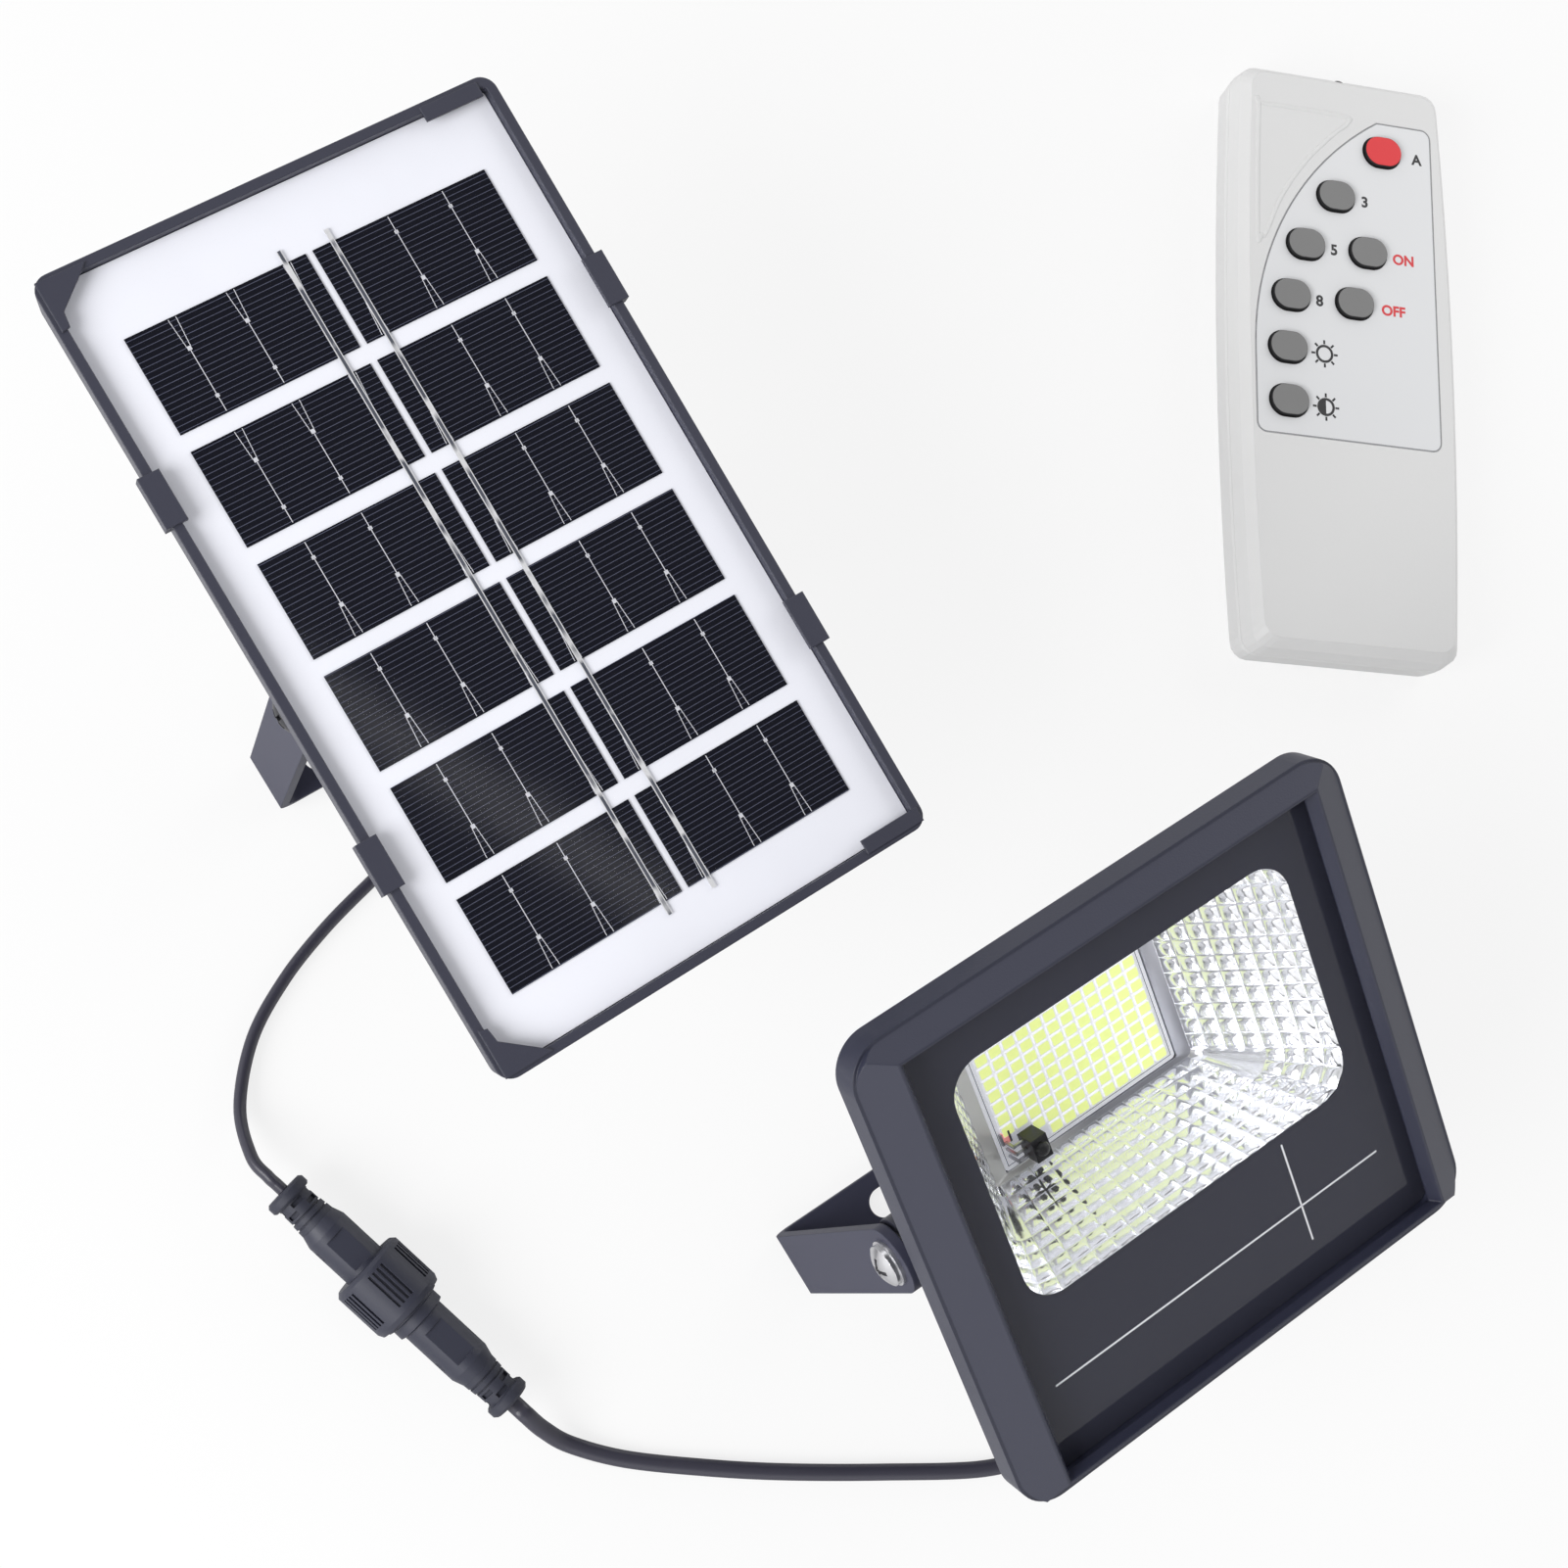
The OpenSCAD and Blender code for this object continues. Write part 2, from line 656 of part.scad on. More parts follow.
module u_strip(out, w, h) intersection() {
  translate([0, w / 2, 0]) rotate([90, 0, 0]) linear_extrude(w) difference() {
    u_outline(out, 3 + strip_t, h + w);
    translate([0, strip_t]) u_outline(out - strip_t, 3, h + w);
  }
  translate([-out - 1, 0, 0]) rotate([90, 0, 90]) linear_extrude(2 * out + 2) {
    translate([-w / 2, 0]) square([w, h]);
    translate([0, h]) circle(r = w / 2);
  }
}

module bracket(out, w, h, pin, hole_d, slot_x, slot_l, slot_w) difference() {
  u_strip(out, w, h);
  translate([0, 0, h]) rotate([0, 90, 0])
    cylinder(r = pin + 0.08, h = 2 * out + 2, center = true);
  translate([0, 0, -1]) cylinder(d = hole_d, h = strip_t + 2);
  both() translate([slot_x, 0, 0]) slot(slot_l, slot_w, -1, strip_t + 1);
}

module lamp_bracket() color(grey)
  bracket(lamp_arm_out, lamp_strip_w, lamp_pivot_h, lamp_pin_r, lamp_hole_d, 32.7,
    lamp_slot_l, lamp_slot_w);

module panel_tabs() {
  for (y = [-40, 51])
    both() translate([panel_w / 2 - rim_w - tab_lap, y - 6.25, 0]) {
      translate([0, 0, panel_glass_z]) cube([rim_w + tab_lap + tab_out, 12.5, 1.2]);
      translate([rim_w + tab_lap - 0.4, 0, rim_top - 3])
        cube([tab_out + 0.4, 12.5, 4.2 - rim_top + panel_glass_z]);
    }
}

// A three-cornered cover over the corner at the origin, reaching along +x and +y.
module corner_cover() translate([0, 0, panel_glass_z]) linear_extrude(0.9)
  polygon([[0, 0], [12, 0], [10.5, 1.5], [2.5, 8], [2, 11.5], [0, 12]]);

module panel_frame() color(black) at_panel() translate([0, panel_mid, 0]) difference() {
  union() {
    difference() {
      hull() {
        plate(panel_w, panel_l, 4, rim_top - 1, rim_top, $fn = 32);
        plate(panel_w - 2, panel_l - 2, 3.5, panel_back, panel_back + 1, $fn = 32);
      }
      plate(panel_w - 2 * rim_w, panel_l - 2 * rim_w, 1.5, ledge_z, rim_top + 1);
      plate(panel_w - 13, panel_l - 13, 3, panel_back - 1, rim_top + 1);
      plate(panel_w - 7, panel_l - 7, 2, panel_back - 1, panel_back + pan_t);
    }
    translate([0, -panel_mid, 0]) panel_tabs();
    translate([-panel_w / 2 + 1, panel_l / 2 - 1, 0]) mirror([0, 1, 0]) corner_cover();
    translate([-panel_w / 2 + 1, -panel_l / 2 + 1, 0]) corner_cover();
    translate([panel_w / 2 - 19, panel_l / 2 - 4.6, panel_glass_z]) cube([15, 3.6, 0.7]);
    translate([panel_w / 2 - 17, -panel_l / 2 + 1, panel_glass_z]) cube([16, 3.6, 0.7]);
  }
}

module ribbons() for (x = [-1, 1])
  translate([x * ribbon_x - ribbon_w / 2, field_y - 3 * cell_l - 2.5 * row_gap - 3, cell_z])
    cube([ribbon_w, 6 * cell_l + 5 * row_gap + 6, ribbon_t]);

module panel_glass() color([0.75, 0.85, 0.95, 0.3]) at_panel() difference() {
  translate([0, panel_mid, 0])
    plate(laminate_w, laminate_l, 1.3, cell_z, panel_glass_z);
  ribbons();
}

module panel_backsheet() color([0.93, 0.94, 0.97]) at_panel()
  translate([0, panel_mid, 0]) plate(laminate_w, laminate_l, 1.3, ledge_z, sheet_z);

module solar_cells() color([0.05, 0.05, 0.1]) at_panel()
  for (x = [-1, 1], j = [-2.5 : 2.5])
    translate([x * (cell_w + col_gap) / 2 - cell_w / 2,
      field_y + j * (cell_l + row_gap) - cell_l / 2, sheet_z])
      cube([cell_w, cell_l, cell_t]);

module cell_ribbons() color(steel) at_panel() ribbons();

module panel_rear_pan() color(black) at_panel() difference() {
  union() {
    translate([0, panel_mid, 0]) {
      plate(panel_w - 7.4, panel_l - 7.4, 1.8, panel_back, panel_back + pan_t);
      for (x = [-36, 0, 36])
        translate([x - 0.75, -panel_l / 2 + 9, panel_back + 1])
          cube([1.5, panel_l - 18, ledge_z - panel_back - 1]);
      for (y = [-60, -27.5, 27.5, 60])
        translate([-panel_w / 2 + 9, y - 0.75, panel_back + 1])
          cube([panel_w - 18, 1.5, ledge_z - panel_back - 1]);
    }
    both() translate([panel_lug_in, 0, 0]) {
      rotate([0, 90, 0]) cylinder(r = lug_r, h = panel_lug_out - panel_lug_in);
      translate([0, -lug_r, 0]) cube([panel_lug_out - panel_lug_in, 2 * lug_r, panel_back + 1]);
    }
  }
  both() translate([panel_lug_in - 1, 0, 0]) rotate([0, 90, 0])
    cylinder(r = panel_pin_r, h = 8);
  for (x = [-1, 1], y = [-1, 1])
    translate([box_x + x * (box_w / 2 - 4), y * (box_l / 2 - 4), panel_back - 1])
      cylinder(r = 1.25, h = pan_t + 2);
}

module panel_junction_box() color(black) at_panel() difference() {
  union() {
    difference() {
      translate([box_x, 0, 0]) plate(box_w, box_l, 4, box_z, panel_back);
      translate([box_x, 0, 0]) plate(box_w - 4, box_l - 4, 2, box_z + 2, panel_back + 1);
    }
    for (x = [-1, 1], y = [-1, 1])
      translate([box_x + x * (box_w / 2 - 4), y * (box_l / 2 - 4), box_z])
        cylinder(r = 3.4, h = panel_back - box_z);
  }
  for (x = [-1, 1], y = [-1, 1])
    translate([box_x + x * (box_w / 2 - 4), y * (box_l / 2 - 4), box_z - 1])
      cylinder(r = 1.4, h = panel_back - box_z + 2);
  translate([panel_gland_x, -box_l / 2 + 3, panel_gland_z]) rotate([90, 0, 0])
    cylinder(r = 5, h = 8);
}

module junction_box_screws() color(steel) at_panel()
  for (x = [-1, 1], y = [-1, 1])
    translate([box_x + x * (box_w / 2 - 4), y * (box_l / 2 - 4), box_z]) mirror([0, 0, 1])
      pan_screw(1.25, panel_back - box_z + pan_t, 2.6, 2);

module panel_gland() color(black) at_panel()
  translate([panel_gland_x, -box_l / 2, panel_gland_z]) rotate([-90, 0, 0])
    gland_shape(2);

module panel_pivot_screws() color(steel) at_panel() both()
  translate([panel_arm_out + washer_t, 0, 0]) rotate([0, 90, 0])
    pan_screw(panel_pin_r, panel_arm_out + washer_t - panel_lug_in + nut_t + screw_out,
      4.2, 2.6);

module panel_pivot_washers() color(steel) at_panel() both() {
  translate([panel_lug_out, 0, 0]) rotate([0, 90, 0]) ring_plate(4.8, panel_pin_r, washer_t);
  translate([panel_arm_out, 0, 0]) rotate([0, 90, 0]) ring_plate(4.8, panel_pin_r, washer_t);
}

module panel_pivot_nuts() color(steel) at_panel() both()
  translate([panel_lug_in - nut_t, 0, 0]) rotate([0, 90, 0]) difference() {
    cylinder(r = 4.6, h = nut_t, $fn = 6);
    translate([0, 0, -1]) cylinder(r = panel_pin_r, h = nut_t + 2);
  }

module panel_bracket() color(grey) translate([panel_x, panel_y, 0])
  bracket(panel_arm_out, panel_strip_w, panel_pivot_h, panel_pin_r, 8, 31.3,
    panel_slot_l, panel_slot_w);

module panel_lead_drop() color(black) lead_part(panel_path, 0, panel_split);

module panel_lead() color(black)
  lead_part(panel_path, panel_split, len(panel_path) - 1);

module lamp_lead() color(black) lead_part(lamp_path, 0, lamp_split);

module lamp_lead_drop() color(black)
  lead_part(lamp_path, lamp_split, len(lamp_path) - 1);

// A strain relief boot from its flanged end at s = 0 to the body at s = boot_l.
module boot_shape() difference() {
  rotate_extrude() polygon([
    [0, 0], [5, 0], [5.7, 0.7], [5.7, 2.5], [5.2, 3], [4.4, 3], [4.5, 7.4],
    [4.1, 7.4], [4.1, 7.9], [4.7, 7.9], [4.8, 9.3], [4.4, 9.3], [4.4, 9.8],
    [4.9, 9.8], [5, boot_l], [0, boot_l]
  ]);
  for (a = [0, 90, 180, 270]) rotate([0, 0, a]) {
    translate([3.4, -1.7, 3.5]) cube([3, 3.4, 1.2]);
    rotate([0, 0, 45]) translate([3.4, -1.7, 5.5]) cube([3, 3.4, 1.2]);
  }
}

module plug_boot() color(black) at_connector() boot_shape();

module socket_boot() color(black) at_connector() translate([0, 0, con_l])
  mirror([0, 0, 1]) boot_shape();

// Two flats along the body and a block of grip ribs on each.
module grips(s0, s1, rib_s) for (a = [0, 180]) rotate([0, 0, a]) {
  translate([body_r - 0.7, -6, s0]) cube([3, 12, s1 - s0]);
  for (i = [-2 : 2])
    rotate([0, 0, 90]) translate([body_r - 0.4, i * 0.9 - 0.25, rib_s - 2])
      cube([2, 0.5, 4 - abs(i) * 0.6]);
}

module pin_set(r, s0, s1) for (a = [90, 210, 330])
  rotate([0, 0, a]) translate([2.6, 0, s0]) cylinder(r = r, h = s1 - s0);

module plug_body() color(black) at_connector() difference() {
  rotate_extrude() polygon([
    [0, boot_l], [5, boot_l], [body_r, boot_l + 3], [body_r, ring_s0 + 2.5],
    [7.4, ring_s0 + 2.5], [7.4, face_s], [5.2, face_s], [5.2, 34.3], [5, 34.3],
    [5, 35.7], [5.2, 35.7], [5.2, 39.3], [4.8, 39.7], [0, 39.7]
  ]);
  grips(boot_l + 5, ring_s0 - 1, boot_l + 7);
  pin_set(0.8, 34, 41);
}

module coupling_ring() color([0.12, 0.12, 0.13]) at_connector() difference() {
  rotate_extrude() polygon([
    [body_r + 0.05, ring_s0], [ring_d / 2 - 1, ring_s0], [ring_d / 2, ring_s0 + 1],
    [ring_d / 2, ring_s1 - 1.4], [ring_d / 2 - 0.6, ring_s1], [8.3, ring_s1],
    [8.3, ring_s0 + 2.5], [body_r + 0.05, ring_s0 + 2.5]
  ]);
  for (g = [0 : 5], i = [-1.5 : 1.5])
    rotate([0, 0, g * 60 + i * 8])
      translate([ring_d / 2 - 0.6, -0.35, ring_s0 + 2]) cube([2, 0.7, ring_s1 - ring_s0 - 5]);
}

module socket_body() color(black) at_connector() difference() {
  rotate_extrude() polygon([
    [6.2, face_s], [7.6, face_s], [8, 32], [8, 33], [7.6, 33.4], [7.6, 34.2], [8, 34.6],
    [8, 35.6], [7.6, 36], [7.6, 36.8], [8, 37.2], [8, 43], [6.9, 43.4], [6.9, 46],
    [body_r, 46.4], [body_r, con_l - boot_l - 3], [5, con_l - boot_l],
    [0, con_l - boot_l], [0, 40], [6.2, 40]
  ]);
  grips(49, con_l - boot_l - 5, con_l - boot_l - 7);
  pin_set(1, 39, 46);
}

module connector_seal() color([0.6, 0.2, 0.1]) at_connector()
  translate([0, 0, 35]) rotate_extrude() translate([5.6, 0]) circle(r = 0.6);

module connector_pins() color([0.8, 0.65, 0.3]) at_connector() pin_set(0.8, 34, 45.5);

// The remote's outline drawn in by d, as a ring of points with bowed sides.
function bow(y, d) = remote_w / 2 - d
  - remote_bulge * pow(y / (remote_l / 2), 2);

function remote_outline(d) =
  let (e = remote_l / 2 - d)
  let (c = 5)
  concat(
    [for (k = [-6 : 6]) let (y = (e - c) * k / 6) [bow(y, d), y]],
    [for (a = [22.5 : 22.5 : 90])
      [bow(e - c, d) - c + c * cos(a), e - c + c * sin(a)]],
    [for (a = [90 : 22.5 : 157.5])
      [-bow(e - c, d) + c + c * cos(a), e - c + c * sin(a)]],
    [for (k = [6 : -1 : -6]) let (y = (e - c) * k / 6) [-bow(y, d), y]],
    [for (a = [202.5 : 22.5 : 270])
      [-bow(e - c, d) + c + c * cos(a), -e + c + c * sin(a)]],
    [for (a = [270 : 22.5 : 337.5])
      [bow(e - c, d) - c + c * cos(a), -e + c + c * sin(a)]]
  );

module shell_loft(levels) {
  rings = [for (l = levels) [for (p = remote_outline(l[0])) [p[0], p[1], l[1]]]];
  m = len(rings);
  n = len(rings[0]);
  polyhedron(
    points = flat(rings),
    faces = concat(
      [[for (k = [0 : n - 1]) k]],
      [[for (k = [n - 1 : -1 : 0]) (m - 1) * n + k]],
      [for (i = [0 : m - 2], k = [0 : n - 1])
        [i * n + k, (i + 1) * n + k, i * n + (k + 1) % n]],
      [for (i = [0 : m - 2], k = [0 : n - 1])
        [i * n + (k + 1) % n, (i + 1) * n + k, (i + 1) * n + (k + 1) % n]]
    ),
    convexity = 4
  );
}

module key_slot(grow, z0, z1) slot(button_w + 2 * grow, button_h + 2 * grow, z0, z1);

function corner(x, y, r, a0) = [
  for (a = [a0 : 22.5 : a0 + 90]) [x + r * cos(a), y + r * sin(a)]
];

// The label plate's outline, grown by g: three round corners and one long bow.
function plate_outline(g) =
  let (r = 3 + g)
  let (bow_r = plate_arc_r + g)
  let (t0 = asin((plate_top + g) / bow_r))
  concat(
    corner(plate_l + 3, plate_bot + 3, r, 180),
    corner(plate_r - 3, plate_bot + 3, r, 270),
    corner(plate_r - 3, plate_top - 3, r, 0),
    [for (k = [16 : -1 : 0]) let (t = t0 * k / 16)
      [plate_arc_x - bow_r * cos(t), bow_r * sin(t)]]
  );

module plate_shape(grow, z0, z1) translate([0, 0, z0]) linear_extrude(z1 - z0)
  polygon(plate_outline(grow));

module emitter_axis() translate([0, remote_l / 2, pcb_z + pcb_t + 2.5])
  rotate([90, 0, 0]) children();

module remote_top() color(shell_white) at_remote() difference() {
  shell_loft([[0.3, part_z], [0, part_z + 1], [0.5, remote_t - 3.2], [3, remote_t]]);
  plate(remote_w - 12, remote_l - 8, 4, part_z - 1, roof_z);
  plate_shape(0.15, remote_t - plate_t, remote_t + 1);
  for (k = KEYS) translate([k[0], k[1], 0]) key_slot(0.3, roof_z - 1, remote_t + 1);
  emitter_axis() translate([0, 0, -1]) cylinder(r = 2.55, h = 8);
}

module remote_plate() color([0.93, 0.94, 0.97]) at_remote() difference() {
  plate_shape(0, remote_t - plate_t, remote_t);
  for (k = KEYS) translate([k[0], k[1], 0]) key_slot(0.6, roof_z, remote_t + 1);
}

module remote_bottom() color(shell_white) at_remote() difference() {
  union() {
    difference() {
      shell_loft([[2.2, 0], [0.4, 2.5], [0, part_z - 1], [0.3, part_z]]);
      plate(remote_w - 12, remote_l - 8, 4, 3, part_z + 1);
    }
    translate([-12.1, bay_y - 24.5, 2]) cube([24.2, 49, part_z - 2]);
    for (x = [-1, 1], y = [pcb_foot + 6, pcb_y, pcb_y + pcb_l / 2 - 6])
      translate([x * 24, y, 2]) cylinder(r = 3, h = pcb_z - 2);
  }
  translate([-2 * aaa_r - 0.3, bay_y - 23, 1]) cube([4 * aaa_r + 0.6, 46, part_z]);
  translate([-cover_w / 2 - 0.2, -remote_l / 2 - 1, -1])
    cube([cover_w + 0.4, cover_l + 1.2, 2]);
  translate([-cover_w / 2 - 1.7, -remote_l / 2 - 1, 0.8])
    cube([cover_w + 3.4, cover_l + 1.2, 0.9]);
}

module remote_battery_cover() color([0.82, 0.82, 0.81]) at_remote()
  translate([0, -remote_l / 2 + 2.2, 0]) {
    translate([-cover_w / 2, 0, 0]) cube([cover_w, cover_l - 2.2, 1.65]);
    translate([-cover_w / 2 - 1.5, 0, 0.8]) cube([cover_w + 3, cover_l - 2.2, 0.85]);
  }

module remote_board() color(pcb_green) at_remote() translate([0, pcb_y, 0]) difference() {
  plate(pcb_w, pcb_l, 2, pcb_z, pcb_z + pcb_t);
  translate([0, 0, pcb_z - 1]) cylinder(r = 1.5, h = pcb_t + 2);
}

module remote_cells() color([0.75, 0.7, 0.3]) at_remote()
  for (x = [-1, 1]) translate([x * (aaa_r + 0.1), bay_y, 1.95 + aaa_r])
    rotate([90, 0, 0]) {
      cylinder(r = aaa_r, h = aaa_l, center = true);
      translate([0, 0, -x * aaa_l / 2]) cylinder(r = 2, h = 1.6, center = true);
    }

module remote_emitter() color([0.25, 0.2, 0.3]) at_remote() emitter_axis()
  translate([0, 0, 2.3]) {
    sphere(r = 2.5);
    cylinder(r = 2.5, h = 4.7);
  }

module key(at, tint) color(tint) at_remote() translate([at[0], at[1], 0]) {
  key_slot(0, key_flange_z, key_top);
  key_slot(1, key_flange_z, roof_z);
  translate([0, 0, pcb_z + pcb_t + 1.2])
    cylinder(r = 1.8, h = key_flange_z - pcb_z - pcb_t - 1);
}

module button_auto() key(auto_at, [0.85, 0.1, 0.1]);
module button_time_a() key(time_a_at, [0.45, 0.45, 0.45]);
module button_time_b() key(time_b_at, [0.45, 0.45, 0.45]);
module button_on() key(on_at, [0.45, 0.45, 0.45]);
module button_time_c() key(time_c_at, [0.45, 0.45, 0.45]);
module button_off() key(off_at, [0.45, 0.45, 0.45]);
module button_bright() key(bright_at, [0.45, 0.45, 0.45]);
module button_dim() key(dim_at, [0.45, 0.45, 0.45]);

lamp_bezel();
lamp_glass();
glass_print();
glass_seal();
reflector();
led_board();
led_chips();
ir_receiver();
lamp_housing();
lamp_battery();
control_board();
lamp_gland();
bezel_screws();
lamp_pivot_screws();
lamp_pivot_washers();
lamp_bracket();
panel_frame();
panel_glass();
panel_backsheet();
solar_cells();
cell_ribbons();
panel_rear_pan();
panel_junction_box();
junction_box_screws();
panel_gland();
panel_pivot_screws();
panel_pivot_washers();
panel_pivot_nuts();
panel_bracket();
panel_lead_drop();
panel_lead();
lamp_lead();
lamp_lead_drop();
plug_boot();
plug_body();
coupling_ring();
socket_body();
socket_boot();
connector_seal();
connector_pins();
remote_top();
remote_bottom();
remote_plate();
button_auto();
button_time_a();
button_time_b();
button_on();
button_time_c();
button_off();
button_bright();
button_dim();
remote_board();
remote_battery_cover();
remote_cells();
remote_emitter();
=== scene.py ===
# %% [markdown]
# # A solar flood light set
# A lamp head and a solar panel, each on its own U bracket, joined by a lead with a
# screw-locked connector, and a hand remote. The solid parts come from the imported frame,
# and each keeps its place. This script adds the camera, the lead, the finishes and the
# fine detail. The frame is in metres. New pieces are drawn in millimetres, in the local
# frame of the head or the remote that they belong to, and scaled as they are placed.

# %% The frame
import math
import bmesh
import bpy
from mathutils import Euler, Matrix, Vector


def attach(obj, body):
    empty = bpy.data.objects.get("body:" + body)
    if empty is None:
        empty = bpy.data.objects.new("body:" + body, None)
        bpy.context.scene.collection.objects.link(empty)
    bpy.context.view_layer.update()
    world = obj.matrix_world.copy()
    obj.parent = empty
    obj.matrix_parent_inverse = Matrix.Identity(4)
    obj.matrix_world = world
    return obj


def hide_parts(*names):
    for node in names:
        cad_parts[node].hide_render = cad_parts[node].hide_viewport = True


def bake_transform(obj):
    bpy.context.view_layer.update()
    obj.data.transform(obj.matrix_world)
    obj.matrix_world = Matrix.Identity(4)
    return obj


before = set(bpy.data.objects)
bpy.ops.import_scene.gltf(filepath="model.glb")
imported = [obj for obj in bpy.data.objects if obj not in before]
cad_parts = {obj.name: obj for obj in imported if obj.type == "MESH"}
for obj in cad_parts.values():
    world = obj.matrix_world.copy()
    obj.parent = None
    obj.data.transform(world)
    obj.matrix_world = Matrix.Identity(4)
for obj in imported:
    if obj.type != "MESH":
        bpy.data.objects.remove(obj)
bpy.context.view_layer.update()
MM = 0.001

# %% [markdown]
# ## The camera
# The set is looked down on with a fairly long lens, so that the square of the glass and
# the panel keep their shape. A camera could be aimed with a constraint, but a typed place
# and turn give the same view each time. Depth of field is off, so every piece is sharp.

# %% Camera
CAMERA_AT = (-0.22267, 0.09021, 0.62551)
CAMERA_TURN = (11.751, -15.714, -32.875)
cam = bpy.data.objects.new("camera", bpy.data.cameras.new("camera"))
bpy.context.scene.collection.objects.link(cam)
cam.data.lens = 56.215
cam.data.sensor_width = 36
cam.location = CAMERA_AT
cam.rotation_euler = Euler([math.radians(a) for a in CAMERA_TURN])
cam.data.clip_start = 0.01
cam.data.clip_end = 20
cam.data.dof.use_dof = False
bpy.context.scene.camera = cam
print("camera at", [round(v, 3) for v in cam.location])


# %% [markdown]
# ## Helpers
# Small functions that the later cells share: colours, meshes, and the three local
# frames. The lamp head's and the panel's frames start at their pivots and lean with
# them, so a piece drawn square in them comes out leaning as the head does.

# %% Colours and local frames
LAMP_PIVOT, LAMP_LEAN = (0, 0, 86), 26.5
PANEL_PIVOT, PANEL_LEAN = (-69, 176, 85), 3
REMOTE_AT, REMOTE_TURN = (211, 129, 0), -34


def srgb(code):
    """A #rrggbb colour as linear red, green, blue and one."""
    parts = [int(code[i:i + 2], 16) / 255 for i in (1, 3, 5)]
    return [p / 12.92 if p <= 0.04045 else ((p + 0.055) / 1.055) ** 2.4 for p in parts] + [1]


def frame_at(place, degrees, axis="X"):
    """A local frame at a place in millimetres, turned about one axis."""
    return Matrix.Translation([v * MM for v in place]) @ Matrix.Rotation(
        math.radians(degrees), 4, axis)


LAMP = frame_at(LAMP_PIVOT, LAMP_LEAN)
PANEL = frame_at(PANEL_PIVOT, PANEL_LEAN)
REMOTE = frame_at(REMOTE_AT, REMOTE_TURN, "Z")
print("lamp face leans", LAMP_LEAN, "degrees")


# %% Mesh helpers
def add(name, bm, body=None, at=None, smooth=False):
    """Makes an object from a bmesh in millimetres, placed by a local frame."""
    bmesh.ops.recalc_face_normals(bm, faces=bm.faces)
    me = bpy.data.meshes.new(name)
    bm.to_mesh(me)
    bm.free()
    me.transform(Matrix.Scale(MM, 4))
    if at is not None:
        me.transform(at)
    for p in me.polygons:
        p.use_smooth = smooth
    o = bpy.data.objects.new(name, me)
    bpy.context.scene.collection.objects.link(o)
    if body:
        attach(o, body)
    return o


def curve_point(a, b, c, d, t):
    """A point on the smooth curve from b to c, at the share t, with neighbours a and d."""
    return b + t * (c - a) / 2 + t * t * (2 * a - 5 * b + 4 * c - d) / 2 \
        + t ** 3 * (3 * b - 3 * c + d - a) / 2


def smooth_line(points, steps):
    """A smooth line through the points, with that many steps to each gap."""
    p = [Vector(q) for q in points]
    p = [2 * p[0] - p[1]] + p + [2 * p[-1] - p[-2]]
    line = [curve_point(*p[i:i + 4], s / steps)
            for i in range(len(p) - 3) for s in range(steps)]
    return line + [p[-2]]


def join_rings(bm, a, b):
    """Adds a band of faces between two closed rings with the same number of points."""
    for k in range(len(a)):
        after = (k + 1) % len(a)
        bm.faces.new((a[k], a[after], b[after], b[k]))


def tube(line, across, high, sides=20):
    """A closed oval tube along a line that starts level, as a bmesh."""
    bm = bmesh.new()
    turns = [2 * math.pi * k / sides for k in range(sides)]
    rings = []
    u = None
    for i, p in enumerate(line):
        d = (line[min(i + 1, len(line) - 1)] - line[max(i - 1, 0)]).normalized()
        u = d.cross(Vector((0, 0, 1))) if u is None else u - d * u.dot(d)
        u.normalize()
        v = d.cross(u)
        rings.append([bm.verts.new(p + across * math.cos(a) * u + high * math.sin(a) * v)
                      for a in turns])
    for a, b in zip(rings, rings[1:]):
        join_rings(bm, b, a)
    bm.faces.new(rings[0])
    bm.faces.new(rings[-1][::-1])
    return bm


print("helpers ready")

# %% [markdown]
# ## The lead
# One flat black cord runs from the panel's gland to the connector, and another from the
# connector to the lamp's gland. A flat cord twists as it is laid, so the first is drawn
# standing on its edge and the second lying flat. Each hangs from its gland and rests on
# the floor. A curve object with a bevel could draw it, but here a mesh is swept along
# chosen points.

# %% Lead
LEAD_R, LEAD_THIN = 2.2, 1.55  # half the cord's width, and half its thickness
LEAD_Z, FLAT_Z = 2.25, 1.6  # height of its middle on the floor, on edge and flat
LEAD_STEPS = 10  # steps of the smooth line from one chosen point to the next
CONNECTOR_TURN, CONNECTOR_L = math.radians(-74.3), 76.4
PANEL_GLAND, LAMP_GLAND = (-10, -36, 2), (-20, -38, -38.5)  # in the heads' own frames
along = Vector((math.cos(CONNECTOR_TURN), math.sin(CONNECTOR_TURN), 0))
plug_end = Vector((-170.5, 85.7, 10.1))
socket_end = plug_end + CONNECTOR_L * along
lean_p, lean_l = math.radians(PANEL_LEAN), math.radians(LAMP_LEAN)
panel_exit = PANEL @ Vector([v * MM for v in PANEL_GLAND]) / MM
panel_out = Vector((0, -math.cos(lean_p), -math.sin(lean_p)))
lamp_exit = LAMP @ Vector([v * MM for v in LAMP_GLAND]) / MM
lamp_out = Vector((0, math.sin(lean_l), -math.cos(lean_l)))
h = panel_exit.z
